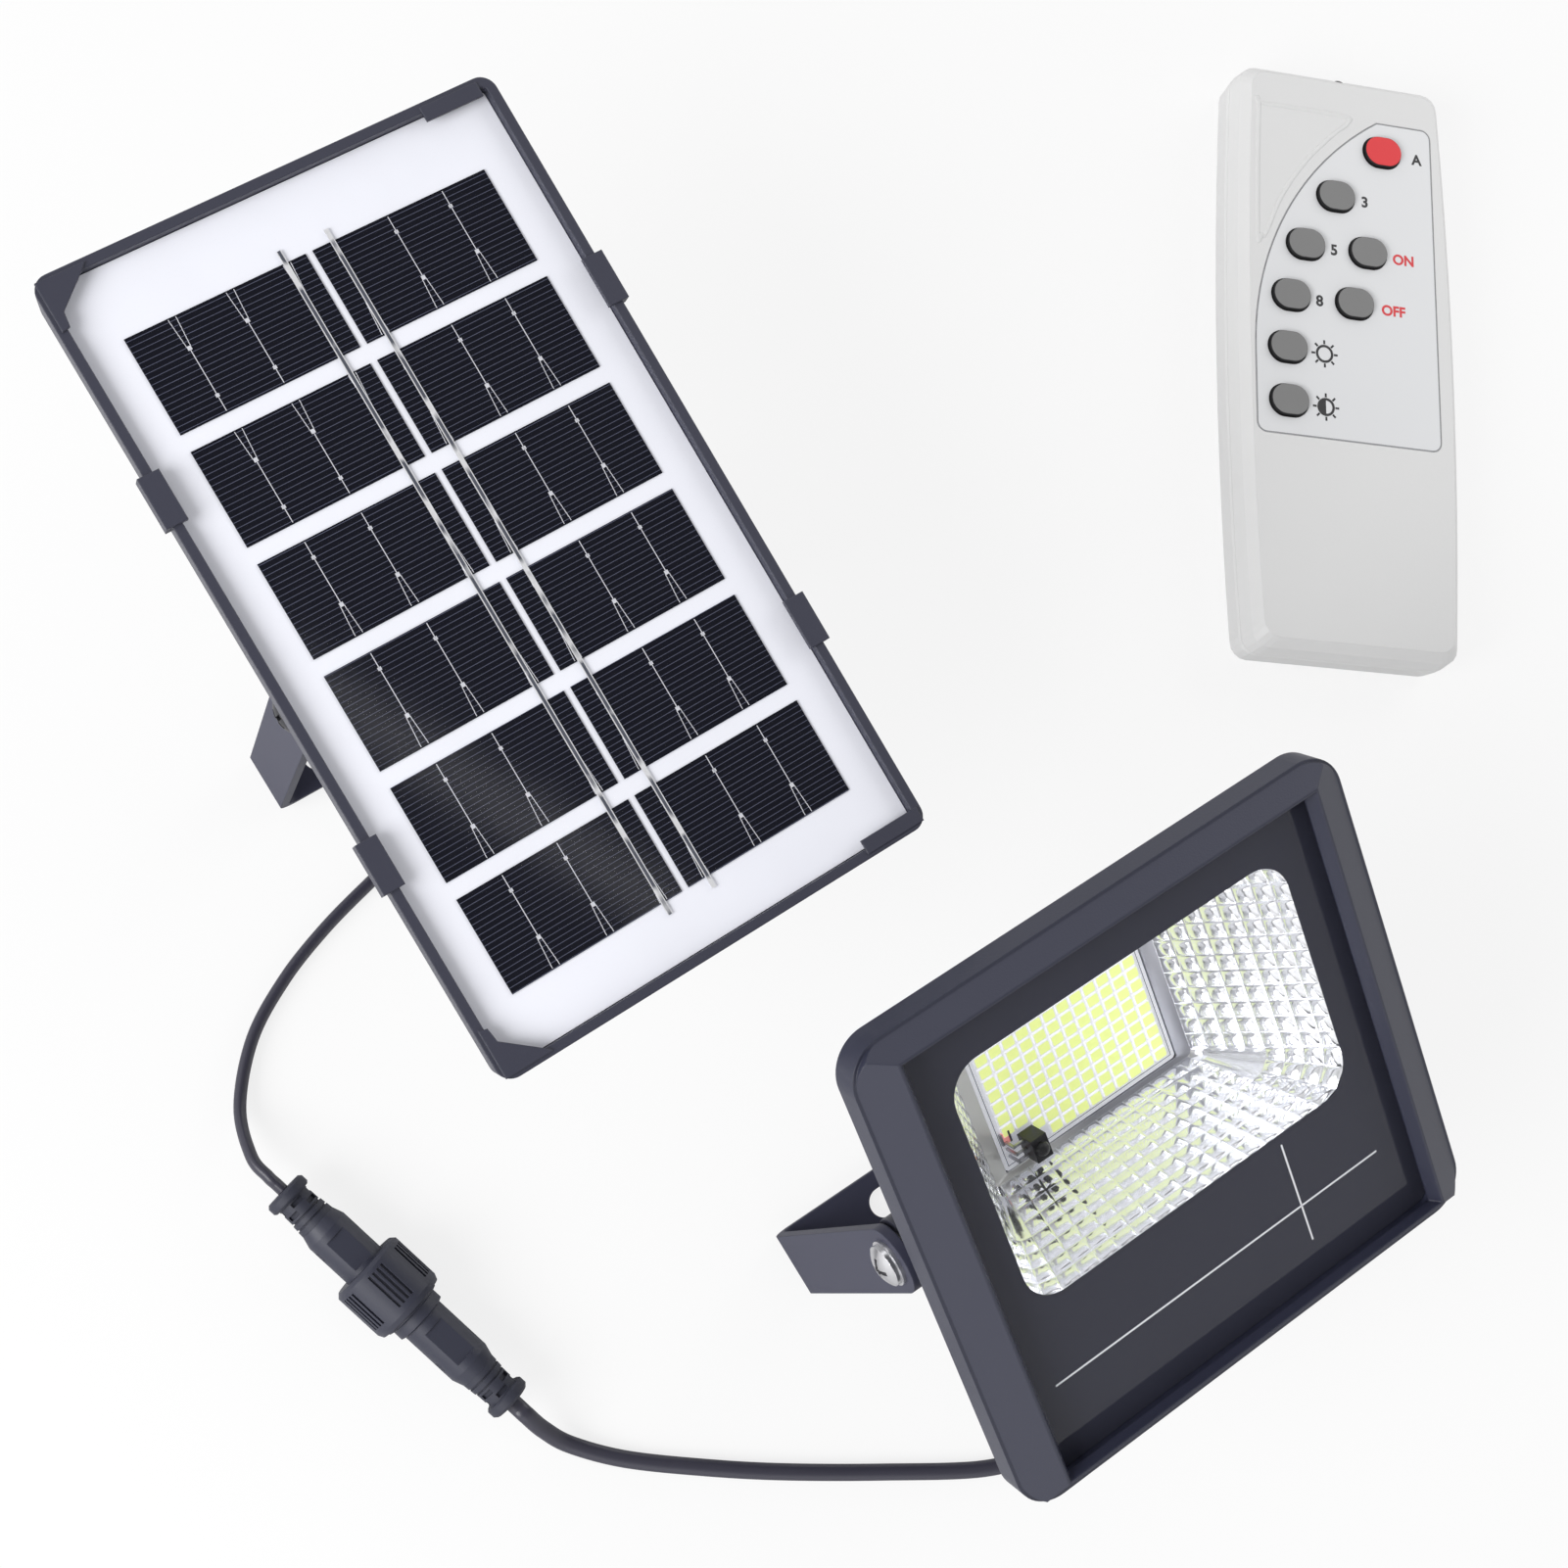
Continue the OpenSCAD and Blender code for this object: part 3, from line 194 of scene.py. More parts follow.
panel_points = [
    panel_exit, panel_exit + 2.5 * panel_out, panel_exit + 5 * panel_out,
    panel_exit + Vector((0.4, -10.4, -6)),
    (-78, 127.5, 0.79 * h), (-77.5, 128.5, 0.61 * h), (-77, 130, 0.42 * h),
    (-77.3, 132.5, 0.235 * h), (-80.5, 137.5, 0.095 * h), (-89, 142.5, 3),
    (-101, 143.2, LEAD_Z), (-115, 140.2, LEAD_Z), (-129, 136.2, LEAD_Z),
    (-143.2, 130.5, LEAD_Z), (-157.2, 121.9, LEAD_Z), (-168.4, 109, 3.4),
    (-172.6, 97, 8), plug_end - 5 * along, plug_end - 2.5 * along, plug_end]
lamp_points = [
    socket_end, socket_end + 2.5 * along, socket_end + 5 * along,
    (-146.3, 1.5, 6.6), (-142, -6, 3),
    (-132, -17, FLAT_Z), (-116, -30.2, FLAT_Z), (-99.7, -42.4, FLAT_Z),
    (-78, -57.1, FLAT_Z), (-54, -72.2, FLAT_Z), (-41.8, -75.2, FLAT_Z),
    (-29.4, -69.4, FLAT_Z), (-23.5, -55.3, FLAT_Z), (-23, -43, FLAT_Z),
    (-22.5, -31, 2.4), (-21.5, -20.5, 7.5), (-20.5, -13.5, 17),
    lamp_exit + 6 * lamp_out, lamp_exit + 3 * lamp_out, lamp_exit]


def lay_lead(name, points, nodes, on_edge):
    """One length of lead, which bends between the floor and the head that it serves."""
    line = smooth_line(points, LEAD_STEPS)
    shape = tube(line[::-1], LEAD_THIN, LEAD_R) if on_edge else tube(line, LEAD_R, LEAD_THIN)
    o = add(name, shape, smooth=True)
    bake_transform(o)
    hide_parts(*nodes)
    return o


panel_cord = lay_lead(
    "panel_cord", panel_points,
    ["panel_lead_drop", "panel_lead"], on_edge=True)
lamp_cord = lay_lead(
    "lamp_cord", lamp_points,
    ["lamp_lead_drop", "lamp_lead"], on_edge=False)

# %% [markdown]
# ## Finishes
# Every finish starts from the real material. Image textures could be painted, but noise
# worked out in the shader needs no file and has no seams. One function sets the
# principled shader, and adds a fine grain and a slow change of tone. Coordinates are the
# object's own, turned into the local frame of the head or the remote and counted in
# millimetres, so that every pattern has its real size.

# %% Node helper
def node(tree, kind, inputs=None, **settings):
    """Adds a shader node: settings are its properties, inputs are values or links."""
    n = tree.nodes.new("ShaderNode" + kind)
    for key, value in settings.items():
        setattr(n, key, value)
    for key, value in (inputs or {}).items():
        if isinstance(value, bpy.types.NodeSocket):
            tree.links.new(value, n.inputs[key])
        else:
            n.inputs[key].default_value = value
    return n


def local_mm(tree, place=None):
    """Object coordinates in millimetres, in the local frame of a head or the remote."""
    back = (place or Matrix.Identity(4)).inverted()
    coords = node(tree, "TexCoord").outputs["Object"]
    return node(tree, "Mapping", {
        "Vector": coords, "Location": [v / MM for v in back.to_translation()],
        "Rotation": back.to_euler(), "Scale": (1000, 1000, 1000)}).outputs["Vector"]


TONE_PATCH = 28  # millimetres over which a finish grows a little lighter or darker


def finish(name, colour, rough, metal=0.0, grain=0.5, bump=0.0, tone=0.04, edge=0.0,
           place=None, **sockets):
    """A finish: grain, bump and edge are the grain's size, its height and the softened
    edge's radius in millimetres, and tone is the share by which its colour varies."""
    m = bpy.data.materials.new(name)
    m.use_nodes = True
    t = m.node_tree
    shader = t.nodes["Principled BSDF"]
    mm = local_mm(t, place)
    broad = node(t, "TexNoise", {"Vector": mm, "Scale": 1 / TONE_PATCH, "Detail": 2.0})
    spread = node(t, "MapRange", {
        "Value": broad.outputs["Fac"], "To Min": 1 - tone, "To Max": 1 + tone})
    base = node(t, "HueSaturation", {"Color": srgb(colour), "Value": spread.outputs["Result"]})
    t.links.new(base.outputs["Color"], shader.inputs["Base Color"])
    shader.inputs["Roughness"].default_value = rough
    shader.inputs["Metallic"].default_value = metal
    for key, value in sockets.items():
        shader.inputs[key.replace("_", " ")].default_value = value
    normal = None
    if edge:
        normal = node(t, "Bevel", {"Radius": edge * MM}, samples=4).outputs["Normal"]
    if bump:
        fine = node(t, "TexNoise", {"Vector": mm, "Scale": 1 / grain, "Detail": 3.0})
        inputs = {"Height": fine.outputs["Fac"], "Strength": 1.0, "Distance": bump * MM}
        if normal:
            inputs["Normal"] = normal
        normal = node(t, "Bump", inputs).outputs["Normal"]
    if normal:
        t.links.new(normal, shader.inputs["Normal"])
    return m


def dress(material, *names):
    """Gives a finish to CAD nodes, by their names."""
    for n in names:
        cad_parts[n].data.materials.clear()
        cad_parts[n].data.materials.append(material)


print("finish helper ready")

# %% [markdown]
# ### Mouldings, paint and metal
# The bezel and the housing are cast aluminium with black powder coat. The panel frame,
# the glands and the connector are moulded plastic, the brackets are painted steel
# strip, and the screws are plated or blackened steel. One black for all of them would
# look like one material, so each has its own tone, roughness and grain.

# %% Mouldings, paint and metal
# Powder coat bakes to a fine pebbled skin, which spreads a highlight wide.
powder_coat = finish("powder_coat_black", "#292b3c", 0.42, grain=0.45, bump=0.035,
                     edge=0.5, place=LAMP)
# The rear casting is rougher under the same coat, so it looks coarser and duller.
housing_coat = finish("cast_housing_black", "#282935", 0.46, grain=0.8, bump=0.06,
                      edge=0.4, place=LAMP)
# ABS from a spark-finished mould is an even black with a low sheen.
abs_black = finish("moulded_abs_black", "#343543", 0.45, grain=0.5, bump=0.03, edge=0.4)
# Nylon is a little duller than ABS, and its small edges are sharper.
connector_black = finish("connector_nylon_black", "#292b3a", 0.5, grain=0.4, bump=0.02,
                         edge=0.25)
# Soft rubber soaks up light, so the boots are duller than the connector.
boot_rubber = finish("boot_rubber", "#262836", 0.6, grain=0.6, bump=0.03, edge=0.2)
# Strip paint is a flat dark grey with a slight orange peel.
strip_paint = finish("grey_strip_paint", "#343546", 0.55, grain=0.7, bump=0.03, edge=0.5,
                     Specular_IOR_Level=0.35)
# Black oxide leaves steel dark, with a dull metal shine.
oxide = finish("black_oxide_steel", "#3a3a3e", 0.4, metal=0.6, grain=1.2, bump=0.01,
               edge=0.2)
# Zinc plate is bright, and slightly blurred.
zinc = finish("zinc_plate", "#c9c9cc", 0.28, metal=1.0, grain=1.2, bump=0.01, edge=0.2)
# Silicone and gasket rubber are matt, and the contacts are warm bright brass.
seal = finish("silicone_seal", "#7a3a2c", 0.6, grain=0.6, bump=0.02)
gasket = finish("black_gasket", "#1c1c1f", 0.7, grain=0.6, bump=0.02)
brass = finish("contact_brass", "#d8b66a", 0.25, metal=1.0, grain=0.8)
dress(powder_coat, "lamp_bezel")
dress(housing_coat, "lamp_housing")
dress(abs_black, "lamp_gland", "panel_frame", "panel_rear_pan", "panel_junction_box",
      "panel_gland")
dress(connector_black, "plug_body", "coupling_ring", "socket_body")
dress(boot_rubber, "plug_boot", "socket_boot")
dress(strip_paint, "lamp_bracket", "panel_bracket")
dress(zinc, "bezel_screws", "lamp_pivot_screws", "lamp_pivot_washers",
      "junction_box_screws")
dress(oxide, "panel_pivot_screws", "panel_pivot_washers", "panel_pivot_nuts")
dress(gasket, "glass_seal")
dress(seal, "connector_seal")
dress(brass, "connector_pins")
print("mouldings, paint and metal dressed")

# %% [markdown]
# ### Inside and underneath
# Boards are fibreglass with a green solder mask, and the cells of the lamp and the
# remote have a printed sleeve. They are mostly hidden, and could be left grey, but the
# remote's cover slides off, so each is given what it is.

# %% Inside and underneath
# Solder mask is a smooth lacquer with a soft shine.
green_mask = finish("green_solder_mask", "#1f6b43", 0.35, grain=2.0, bump=0.01)
# Shrink sleeve is a thin glossy film: plain blue, or silver grey over steel.
sleeve = finish("cell_sleeve_blue", "#2c5f9e", 0.3, grain=3.0)
cell_steel = finish("aaa_sleeve_grey", "#8d8f94", 0.35, metal=0.6, grain=3.0)
# The emitter's lens is dark smoked epoxy, polished, with a clear skin.
smoked = finish("smoked_lens", "#2b2430", 0.1, grain=3.0, Coat_Weight=0.5)
dress(green_mask, "control_board", "remote_board")
dress(sleeve, "lamp_battery")
dress(cell_steel, "remote_cells")
dress(smoked, "remote_emitter")
print("inner pieces dressed")

# %% [markdown]
# ### The lead's rubber
# The lead has a smooth black rubber sheath with a soft sheen and a faint mottle. It is
# drawn from coordinates in the object's own space, since so plain a finish needs no map
# that follows the cord.

# %% Lead rubber
sheath = finish("rubber_sheath", "#32313e", 0.4, grain=2.5, bump=0.03)
for o in (panel_cord, lamp_cord):
    o.data.materials.append(sheath)
dress(sheath, "panel_lead_drop", "panel_lead", "lamp_lead", "lamp_lead_drop")
print("lead dressed")

# %% [markdown]
# ## Glass
# Clear glass over a window lets light in to what is behind it. A principled shader with
# full transmission would throw a dark shadow inside the lamp, so the glass is mixed from
# a transparent and a glossy shader by the Fresnel effect, which keeps the inside lit.
# The panes stand a hair off the sheets behind them, so no two faces coincide. The black
# print and the cells lie right behind the glass, and their own finish carries its shine:
# the panes are given a low IOR, which leaves the render free of grain.

# %% Glass panes
PANE_IOR = 1.05


def clear_pane(name, rough):
    """Clear glass: it only shines on the side that faces out."""
    m = bpy.data.materials.new(name)
    m.use_nodes = True
    t = m.node_tree
    t.nodes.remove(t.nodes["Principled BSDF"])
    fresnel = node(t, "Fresnel", {"IOR": PANE_IOR})
    inside = node(t, "NewGeometry").outputs["Backfacing"]
    outer = node(t, "Math", {0: 1.0, 1: inside}, operation="SUBTRACT")
    amount = node(t, "Math", {0: fresnel.outputs["Fac"], 1: outer.outputs["Value"]},
                  operation="MULTIPLY")
    through = node(t, "BsdfTransparent", {"Color": (1, 1, 1, 1)})
    gloss = node(t, "BsdfGlossy", {"Color": (1, 1, 1, 1), "Roughness": rough})
    both = node(t, "MixShader", {0: amount.outputs["Value"], 1: through.outputs["BSDF"],
                                 2: gloss.outputs["BSDF"]})
    t.links.new(both.outputs["Shader"], t.nodes["Material Output"].inputs["Surface"])
    return m


def pane(w, h, r, y, z0, z1):
    """A glass pane with round corners and finely ground edges."""
    bm = bmesh.new()
    bmesh.ops.create_cube(bm, size=1.0)
    bmesh.ops.scale(bm, vec=(w, h, z1 - z0), verts=bm.verts)
    bmesh.ops.translate(bm, vec=(0, y, (z0 + z1) / 2), verts=bm.verts)
    corners = [e for e in bm.edges if abs(e.verts[0].co.z - e.verts[1].co.z) > 0.1]
    bmesh.ops.bevel(bm, geom=corners, offset=r, affect="EDGES", segments=6, profile=0.5,
                    material=-1)
    rims = [e for e in bm.edges if abs(e.verts[0].co.z - e.verts[1].co.z) < 0.01
            and any(abs(f.normal.z) > 0.9 for f in e.link_faces)]
    bmesh.ops.bevel(bm, geom=rims, offset=0.25, affect="EDGES", segments=2, profile=0.5,
                    material=-1)
    return bm


# Float glass is smooth, and the panel's is lightly textured, so it shines less sharply.
lamp_glass_mat = clear_pane("lamp_glass_clear", 0.03)
panel_glass_mat = clear_pane("panel_glass_clear", 0.06)
lamp_pane = add("lamp_pane", pane(w=120, h=121.5, r=3, y=-1.8, z0=18.58, z1=21.5),
                "lamp_head", LAMP)
lamp_pane.data.materials.append(lamp_glass_mat)
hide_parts("lamp_glass")
panel_pane = add("panel_pane", pane(w=111, h=195, r=1.3, y=5.4, z0=16.95, z1=18.6),
                 "panel_head", PANEL)
panel_pane.data.materials.append(panel_glass_mat)
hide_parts("panel_glass")
dress(lamp_glass_mat, "lamp_glass")
dress(panel_glass_mat, "panel_glass")
# Ink baked on the back of the glass is a deep black, as smooth as the glass itself.
ink = finish("ink_black", "#32333f", 0.06, grain=4.0, Specular_IOR_Level=0.25)
dress(ink, "glass_print")
print("panes", [o.name for o in (lamp_pane, panel_pane)])

# %% [markdown]
# ## The reflector
# The reflector is a pressed tray, coated with bright aluminium. Its four sloping walls
# carry rows of small cushions that scatter the light. A bump map would give them tone
# but no outline, so they are real: a ring of edges is extruded up the wall row by row,
# the sheet is given its thickness on its back, and each tile is then inset three times,
# twice with a rise, to make a cushion. Smooth shading rounds it. An open sheet has no
# outside, so the flange, which is flat all round, decides which side is up.

# %% Reflector tray
ROWS, TILES_X, TILES_Y = 8, 14, 10
FLOOR_Z, RIM_Z = -19.5, 16.7
SHEET = 1.0  # the tray's thickness
# Each outline is half its width, half its height, its corners' radius and its middle's y.
OPENING = (27.3, 24, 0.5, 11.4)
WALL_FOOT, WALL_GROWS = (31.4, 24.6, 1.5, 10.4), (19.4, 9.8, 9.3, 2.0)
FLANGE = (60, 60.7, 3, -1.8)
TRAY_Y = 11  # the walls face this line
LEAST_TILE = 2.7  # a tile with a shorter edge stays flat, as the insets would cross
CUSHION = ((0.1, 0.0), (0.55, 0.4), (0.6, 0.25))  # the width and rise of each inset


def ring_at(hw, hh, r, y, z):
    """Points round a rectangle with round corners, one at each tile's edge."""
    corners = []
    for q in range(4):
        sx, sy = (1, 1, -1, -1)[(q + 1) % 4], (1, 1, -1, -1)[q]
        turns = [math.radians(90 * q + 30 * k) for k in range(4)]
        corners.append([Vector((sx * (hw - r) + r * math.cos(a),
                                y + sy * (hh - r) + r * math.sin(a), z)) for a in turns])
    ring = []
    for q in range(4):
        a, b = corners[q][-1], corners[(q + 1) % 4][0]
        n = (TILES_X, TILES_Y)[q % 2]
        ring += corners[q] + [a.lerp(b, k / n) for k in range(1, n)]
    return ring


def wall_at(t):
    """The ring of points at the share t of the way up the walls."""
    shape = [a + b * t for a, b in zip(WALL_FOOT, WALL_GROWS)]
    return ring_at(*shape, FLOOR_Z + (RIM_Z - FLOOR_Z) * t)


def grow(bm, edges, old, new):
    """Extrudes a ring of edges and moves the new points to the next ring."""
    where = {tuple(round(c, 3) for c in p): q for p, q in zip(old, new)}
    out = bmesh.ops.extrude_edge_only(bm, edges=edges)["geom"]
    made = {g for g in out if isinstance(g, bmesh.types.BMVert)}
    for v in made:
        v.co = where[tuple(round(c, 3) for c in v.co)]
    return [g for g in out if isinstance(g, bmesh.types.BMEdge) and set(g.verts) <= made]


def is_tile(f):
    """Whether a face is a whole tile on the inner side of a wall."""
    c = f.calc_center_median()
    inward = f.normal.x * -c.x + f.normal.y * (TRAY_Y - c.y)
    whole = min(e.calc_length() for e in f.edges) >= LEAST_TILE
    between = FLOOR_Z + 0.3 < c.z < RIM_Z - 0.6
    return between and inward > 0 and abs(f.normal.z) < 0.95 and whole


def reflector_tray():
    """The tray as a bmesh: its lip round the board has the second finish."""
    bm = bmesh.new()
    rings = [ring_at(*OPENING, FLOOR_Z)] + [wall_at(i / ROWS) for i in range(ROWS + 1)]
    rings.append(ring_at(*FLANGE, RIM_Z))
    first = [bm.verts.new(p) for p in rings[0]]
    edges = [bm.edges.new((a, b)) for a, b in zip(first, first[1:] + first[:1])]
    for old, new in zip(rings, rings[1:]):
        edges = grow(bm, edges, old, new)
    bm.normal_update()
    bmesh.ops.recalc_face_normals(bm, faces=bm.faces)
    bm.normal_update()
    flange = max(bm.faces, key=lambda f: f.calc_center_median().z)
    if flange.normal.z < 0:
        bmesh.ops.reverse_faces(bm, faces=bm.faces)
        bm.normal_update()
    bmesh.ops.solidify(bm, geom=bm.faces[:], thickness=SHEET)
    bm.normal_update()
    tiles = [f for f in bm.faces if is_tile(f)]
    for f in bm.faces:
        f.material_index = int(f.calc_center_median().z < FLOOR_Z + 0.3)
    for width, rise in CUSHION:
        bmesh.ops.inset_individual(bm, faces=tiles, thickness=width, depth=rise,
                                   use_even_offset=True)
    print("reflector tiles", len(tiles), "z", round(min(v.co.z for v in bm.verts), 2))
    return bm


def lip_metal():
    """The tray's flat lip: satin aluminium, with painted light that makes it paler towards -x,
    where the board's light falls.
    """
    m = finish("satin_aluminium_painted_light", "#b9bac2", 0.3, metal=0.45, grain=3.0)
    t = m.node_tree
    x = node(t, "SeparateXYZ", {"Vector": local_mm(t, LAMP)}).outputs["X"]
    painted_light_fade = node(t, "MapRange", {"Value": x, "From Min": -24.0, "From Max": 0.0})
    # Painted light: the lip's colour is paler towards -x, where the board's light falls.
    mix = node(t, "MixRGB", {"Fac": painted_light_fade.outputs["Result"], "Color1": srgb("#f7f7f4"),
                             "Color2": srgb("#a2a3ab")})
    t.links.new(mix.outputs["Color"], t.nodes["Principled BSDF"].inputs["Base Color"])
    return m


mirror_tray = add("reflector_tray", reflector_tray(), "lamp_head", LAMP, smooth=True)
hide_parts("reflector")
# Aluminium laid on in a vacuum is near a mirror, and the pressed sheet ripples slightly.
bright = finish("bright_aluminium", "#f4f5f9", 0.12, metal=0.88, grain=3.0, bump=0.03)
mirror_tray.data.materials.append(bright)
mirror_tray.data.materials.append(lip_metal())
dress(bright, "reflector")

# %% [markdown]
# ## The LED board
# The board is aluminium with a white mask. Each chip is a white frame round a square of
# yellow phosphor, and the frames are solid parts already. All the phosphor squares are
# one mesh, made by a loop, since they never part. The phosphor, the frames and the mask
# are given a weak painted glow. It stands in for the light that the mirror walls throw
# back on the board, and on the phosphor it also stands for its own faint glow in daylight.

# %% LED board
CHIP_COLUMNS, CHIP_ROWS = 12, 13
CHIP_STEP_X, CHIP_STEP_Y, CHIPS_Y = 4.18, 3.45, 12
RECEIVER_PLACES = {(0, 0), (1, 0), (2, 0), (0, 1), (1, 1)}  # no chips stand here
SQUARE_X, SQUARE_Y, SQUARE_R = 1.6, 1.27, 0.4  # half a square's sides, and its corners
BOARD_Z = -20.0  # the board's white face


def boxes(bm, rects, z0, z1):
    """Adds one closed box for each (x0, x1, y0, y1), with the box operator."""
    for x0, x1, y0, y1 in rects:
        bmesh.ops.create_cube(bm, size=1.0, matrix=Matrix.Translation(
            ((x0 + x1) / 2, (y0 + y1) / 2, (z0 + z1) / 2)) @ Matrix.Diagonal(
            (x1 - x0, y1 - y0, z1 - z0, 1)))


def round_upright(bm, r):
    """Rounds the upright edges of every box in a bmesh."""
    edges = [e for e in bm.edges if abs(e.verts[0].co.z - e.verts[1].co.z) > 1e-4]
    bmesh.ops.bevel(bm, geom=edges, offset=r, affect="EDGES", segments=2, profile=0.5,
                    material=-1)


chip_at = [((i - (CHIP_COLUMNS - 1) / 2) * CHIP_STEP_X,
            CHIPS_Y + (j - (CHIP_ROWS - 1) / 2) * CHIP_STEP_Y)
           for i in range(CHIP_COLUMNS) for j in range(CHIP_ROWS)
           if (i, j) not in RECEIVER_PLACES]
bm = bmesh.new()
boxes(bm, [(x - SQUARE_X, x + SQUARE_X, y - SQUARE_Y, y + SQUARE_Y) for x, y in chip_at],
      BOARD_Z + 0.75, BOARD_Z + 0.86)
round_upright(bm, SQUARE_R)
phosphor = add("phosphor_squares", bm, "lamp_head", LAMP)
# Phosphor in silicone is a powdery greenish yellow. Its weak glow is painted light: partly
# its own faint glow in daylight, partly the light that the mirror walls throw back.
phosphor_mat = finish("yellow_phosphor_painted_glow", "#f2ffa2", 0.5, grain=0.3, bump=0.01, place=LAMP,
                      Emission_Color=srgb("#f2ffa2"), Emission_Strength=0.42)
phosphor.data.materials.append(phosphor_mat)
# The frames are moulded white resin, and the mask is a baked white lacquer. Both have
# a weak painted glow, which stands in for the light that the mirror walls throw back.
chip_frame = finish("chip_frame_white_painted_glow", "#f6f6f8", 0.45, grain=1.0,
                    Emission_Color=srgb("#eeeff2"), Emission_Strength=0.28)
white_mask = finish("white_solder_mask_painted_glow", "#f2f3f8", 0.4, grain=1.2, bump=0.01,
                    Emission_Color=srgb("#e6e8f2"), Emission_Strength=0.24)
dress(chip_frame, "led_chips")
dress(white_mask, "led_board")
print("chips", len(chip_at))

# %% [markdown]
# ### Small things on the board
# A thin grey line is printed round the board. The remote's receiver stands at its corner
# on three legs, next to a small resistor with a bright solder cap at each end. They are
# plain boxes, a millimetre or so high, and all of them ride on the lamp head.

# %% Board outline, resistor and receiver
BOARD_LINES = ((-26, 26, -11.2, -11.05), (-26, -25.85, -11.2, 34),
               (25.85, 26, -11.2, 34), (-26, 26, 33.85, 34))
RESISTOR = (-25.6, -22.9, -4.9, -1.9)
SOLDER_CAPS = ((-25.7, -25.1, -5.0, -1.8), (-23.4, -22.8, -5.0, -1.8))
LEGS_Y, LEG_STEP, LEG_HALF = -6.6, 2.2, 0.32
LEG_Z = (-16.1, -15.4)
bm = bmesh.new()
boxes(bm, BOARD_LINES, BOARD_Z - 0.01, BOARD_Z + 0.05)
outline = add("board_outline", bm, "lamp_head", LAMP)
# Screen ink is even and slightly soft, here as in the other prints below.
outline.data.materials.append(finish("grey_print_line", "#4c4d55", 0.5, grain=2.0))
bm = bmesh.new()
boxes(bm, [RESISTOR], BOARD_Z - 0.02, BOARD_Z + 0.8)
resistor = add("resistor", bm, "lamp_head", LAMP)
# Fired enamel, a clean pale red, with a weak painted glow for the light that falls on it
# in the bright well.
resistor.data.materials.append(finish(
    "resistor_pink_painted_glow", "#f6a7a2", 0.4, grain=0.5, Emission_Color=srgb("#f09a96"),
    Emission_Strength=0.35))
bm = bmesh.new()
boxes(bm, SOLDER_CAPS, BOARD_Z - 0.02, BOARD_Z + 0.88)
ends = add("resistor_ends", bm, "lamp_head", LAMP)
# Solder sets bright, with a soft blur.
ends.data.materials.append(finish("solder_bright", "#b9b9be", 0.3, metal=1.0, grain=0.6))
# Moulded epoxy is a smooth near-black with a clear shine.
epoxy = finish("receiver_epoxy", "#1d1d20", 0.28, grain=1.0, bump=0.01, edge=0.3)
dress(epoxy, "ir_receiver")
bm = bmesh.new()
for k in (-1, 0, 1):
    y = LEGS_Y + LEG_STEP * k
    boxes(bm, [(-24.95, -21.7, y - LEG_HALF, y + LEG_HALF)], *LEG_Z)
    boxes(bm, [(-25.05, -24.35, y - LEG_HALF, y + LEG_HALF)], BOARD_Z, LEG_Z[1])
legs = add("receiver_legs", bm, "lamp_head", LAMP)
legs.data.materials.append(ends.data.materials[0])
print("receiver and small parts ready")

# %% [markdown]
# ## The solar cells
# Each cell is dark blue-black silicon with fine silver fingers across it, and bright
# tinned ribbons join the cells over a white backing sheet. There are some two
# hundred fingers, too thin to be worth a mesh, so a comb of lines in the shader draws them.

# %% Cells, sheet and ribbons
FINGER_STEP, FINGER_SHARE = 1.3333, 0.1  # millimetres apart, and the share that is silver
RIBBON_X = 6.0  # how far each ribbon's middle line is from the panel's


def cell_silicon():
    """Dark silicon with silver fingers. Real ones are about 0.05 mm wide: they are drawn
    0.13 mm wide and in a duller tone, so that they show without flicker."""
    m = finish("cell_silicon", "#15151f", 0.06, grain=1.0, place=PANEL,
               Specular_IOR_Level=0.14)
    t = m.node_tree
    split = node(t, "SeparateXYZ", {"Vector": local_mm(t, PANEL)})
    step = node(t, "Math", {0: split.outputs["Y"], 1: FINGER_STEP}, operation="DIVIDE")
    part = node(t, "Math", {0: step.outputs["Value"]}, operation="FRACT")
    line = node(t, "Math", {0: part.outputs["Value"], 1: FINGER_SHARE},
                operation="LESS_THAN")
    mix = node(t, "MixRGB", {"Fac": line.outputs["Value"], "Color1": srgb("#14151e"),
                             "Color2": srgb("#5a5d70")})
    t.links.new(mix.outputs["Color"], t.nodes["Principled BSDF"].inputs["Base Color"])
    return m


